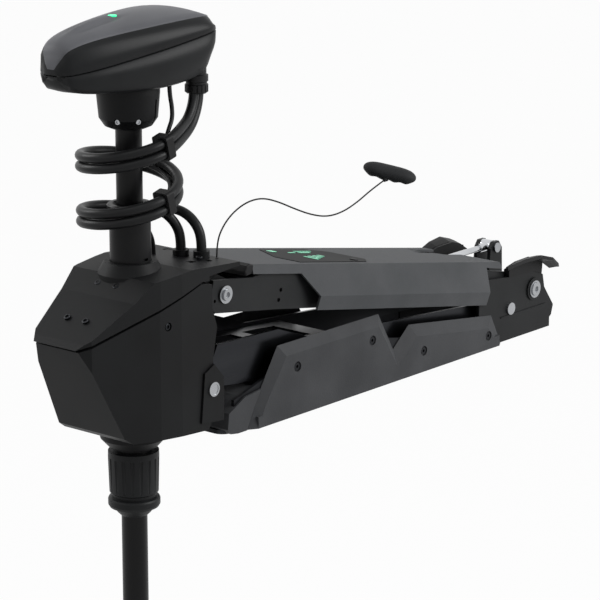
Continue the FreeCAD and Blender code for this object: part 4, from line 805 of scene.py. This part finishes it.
class MOTOR_OT_display(Operator):
    """Lights the symbols behind the arm's window"""
    bl_idname = "motor.display"
    bl_label = "Display symbols"

    def execute(self, context):
        glow = (*context.scene.motor_colours.glow, 1.0)
        # printed marks over a weak lamp give a paler, dimmer green than the status light's
        SURFACES["display_symbols"] = glowing("Lit display symbols", linear("#1c8a60"), glow, 0.6)
        work = bmesh.new()
        for x, y, long, wide in SYMBOLS:
            corners = [arm_point(x + a * long / 2, y + b * wide / 2, SYMBOL_FLOOR) * MM
                       for a, b in ((-1, -1), (1, -1), (1, 1), (-1, 1))]
            face = work.faces.new([work.verts.new(c) for c in corners])
            bmesh.ops.bevel(work, geom=list(face.verts), offset=SYMBOL_CORNER, segments=3, profile=0.5,
                            affect="VERTICES", material=-1)
        made = bmesh.ops.extrude_face_region(work, geom=list(work.faces))
        lift = (arm_point(0, 0, SYMBOL_HEIGHT) - arm_point(0, 0, 0)) * MM
        upper = [g for g in made["geom"] if isinstance(g, bmesh.types.BMVert)]
        bmesh.ops.translate(work, vec=lift, verts=upper)
        piece_from("display_symbols", mesh_of(work, "display_symbols"), "arm",
                   SURFACES["display_symbols"], smooth=False)
        return {"FINISHED"}


class MOTOR_OT_stage(Operator):
    """Sets the floor, the lamps, the white surround and the camera"""
    bl_idname = "motor.stage"
    bl_label = "Stage"

    def execute(self, context):
        scene = context.scene
        self.floor(scene)
        self.surround(scene)
        self.lamps(scene)
        self.camera(scene)
        scene.view_settings.view_transform = "Standard"
        return {"FINISHED"}

    def seen(self, owner):
        """1 where the eye, a reflection or a clear part shows the surface, 0 where it only gives light."""
        path = add(owner, "LightPath")
        sources = {0: (path, "Is Camera Ray"), 1: (path, "Is Glossy Ray")}
        seen = add(owner, "Math", sources, operation="MAXIMUM")
        return add(owner, "Math", {0: (seen, "Value"), 1: (path, "Is Transmission Ray")}, operation="MAXIMUM")

    def floor(self, scene):
        """A matt floor that shows nearly white and keeps a trace of the shadow."""
        work = bmesh.new()
        bmesh.ops.create_grid(work, x_segments=2, y_segments=2, size=FLOOR_HALF)
        bmesh.ops.translate(work, vec=(0, 0, CAD_BOX[0][2] - FLOOR_DROP), verts=work.verts)
        mesh = bpy.data.meshes.new("studio_floor")
        work.to_mesh(mesh)
        work.free()
        floor = bpy.data.objects.new("studio_floor", mesh)
        scene.collection.objects.link(floor)
        # flat paint gives an even ground without gloss
        paint = start("Matt studio floor")
        amount = add(paint, "Math", {0: (self.seen(paint), "Value")}, operation="MULTIPLY")
        amount.inputs[1].default_value = FLOOR_WHITE
        matt = add(paint, "BsdfDiffuse", Color=(*scene.motor_colours.floor, 1.0))
        white = add(paint, "Emission", Color=(1, 1, 1, 1), Strength=1.0)
        both = add(paint, "MixShader", {0: (amount, "Value"), 1: (matt, 0), 2: (white, 0)})
        mesh.materials.append(finish_surface(paint, both))

    def lamps(self, scene):
        """Square soft lamps, all turned towards the arm."""
        for name, place, size, share in LAMPS:
            lamp = bpy.data.lights.new(name, "AREA")
            lamp.shape = "SQUARE"
            lamp.size = size
            lamp.energy = scene.motor_sizes.lamp_power * share
            holder = bpy.data.objects.new(name, lamp)
            scene.collection.objects.link(holder)
            holder.location = place
            aim = Vector(LAMPS_AIM) - Vector(place)
            holder.rotation_euler = aim.to_track_quat("-Z", "Y").to_euler()

    def surround(self, scene):
        """White to the eye and in reflections, and a plain soft grey as light."""
        world = bpy.data.worlds.new("White surround")
        world.use_nodes = True
        world.node_tree.nodes.clear()
        scene.world = world
        soft = add(world, "Background", Color=(0.97, 0.98, 1.0, 1), Strength=SOFT_LIGHT)
        white = add(world, "Background", Color=(1, 1, 1, 1), Strength=1.0)
        both = add(world, "MixShader", {0: (self.seen(world), "Value"), 1: (soft, 0), 2: (white, 0)})
        output = add(world, "OutputWorld")
        world.node_tree.links.new(both.outputs[0], output.inputs["Surface"])

    def camera(self, scene):
        """A long lens that looks slightly down on the bow."""
        data = bpy.data.cameras.new("product_camera")
        data.lens = LENS_MM
        data.sensor_width = 36.0
        data.clip_end = 100.0
        holder = bpy.data.objects.new("product_camera", data)
        scene.collection.objects.link(holder)
        azimuth, height = radians(CAMERA_AZIMUTH), radians(CAMERA_HEIGHT)
        right = Vector((cos(azimuth), sin(azimuth), 0))
        back = Vector((sin(azimuth) * cos(height), -cos(azimuth) * cos(height), sin(height)))
        up = back.cross(right)
        turn = Matrix((right, up, back)).transposed().to_4x4()
        holder.matrix_world = Matrix.Translation(CAMERA_AT) @ turn
        scene.camera = holder


class MOTOR_PT_pieces(Panel):
    """Lists the motor's operators"""
    bl_label = "Trolling motor"
    bl_idname = "MOTOR_PT_pieces"
    bl_space_type = "VIEW_3D"
    bl_region_type = "UI"
    bl_category = "Motor"

    def draw(self, context):
        for group in (context.scene.motor_sizes, context.scene.motor_colours):
            for name in group.__annotations__:
                self.layout.prop(group, name)
        for maker in OPERATORS:
            self.layout.operator(maker.bl_idname)


OPERATORS = (MOTOR_OT_finishes, MOTOR_OT_head, MOTOR_OT_cables, MOTOR_OT_pull_cord, MOTOR_OT_screws,
             MOTOR_OT_display, MOTOR_OT_stage)
CLASSES = (MotorSizes, MotorColours, *OPERATORS, MOTOR_PT_pieces)


def register():
    for kind in CLASSES:
        bpy.utils.register_class(kind)
    bpy.types.Scene.motor_sizes = PointerProperty(type=MotorSizes)
    bpy.types.Scene.motor_colours = PointerProperty(type=MotorColours)


def unregister():
    del bpy.types.Scene.motor_colours
    del bpy.types.Scene.motor_sizes
    for kind in reversed(CLASSES):
        bpy.utils.unregister_class(kind)


def main():
    """Registers the add-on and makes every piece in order."""
    register()
    bpy.ops.motor.finishes()
    bpy.ops.motor.head()
    bpy.ops.motor.cables()
    bpy.ops.motor.pull_cord()
    bpy.ops.motor.screws()
    bpy.ops.motor.display()
    bpy.ops.motor.stage()


if __name__ == "__main__":
    main()
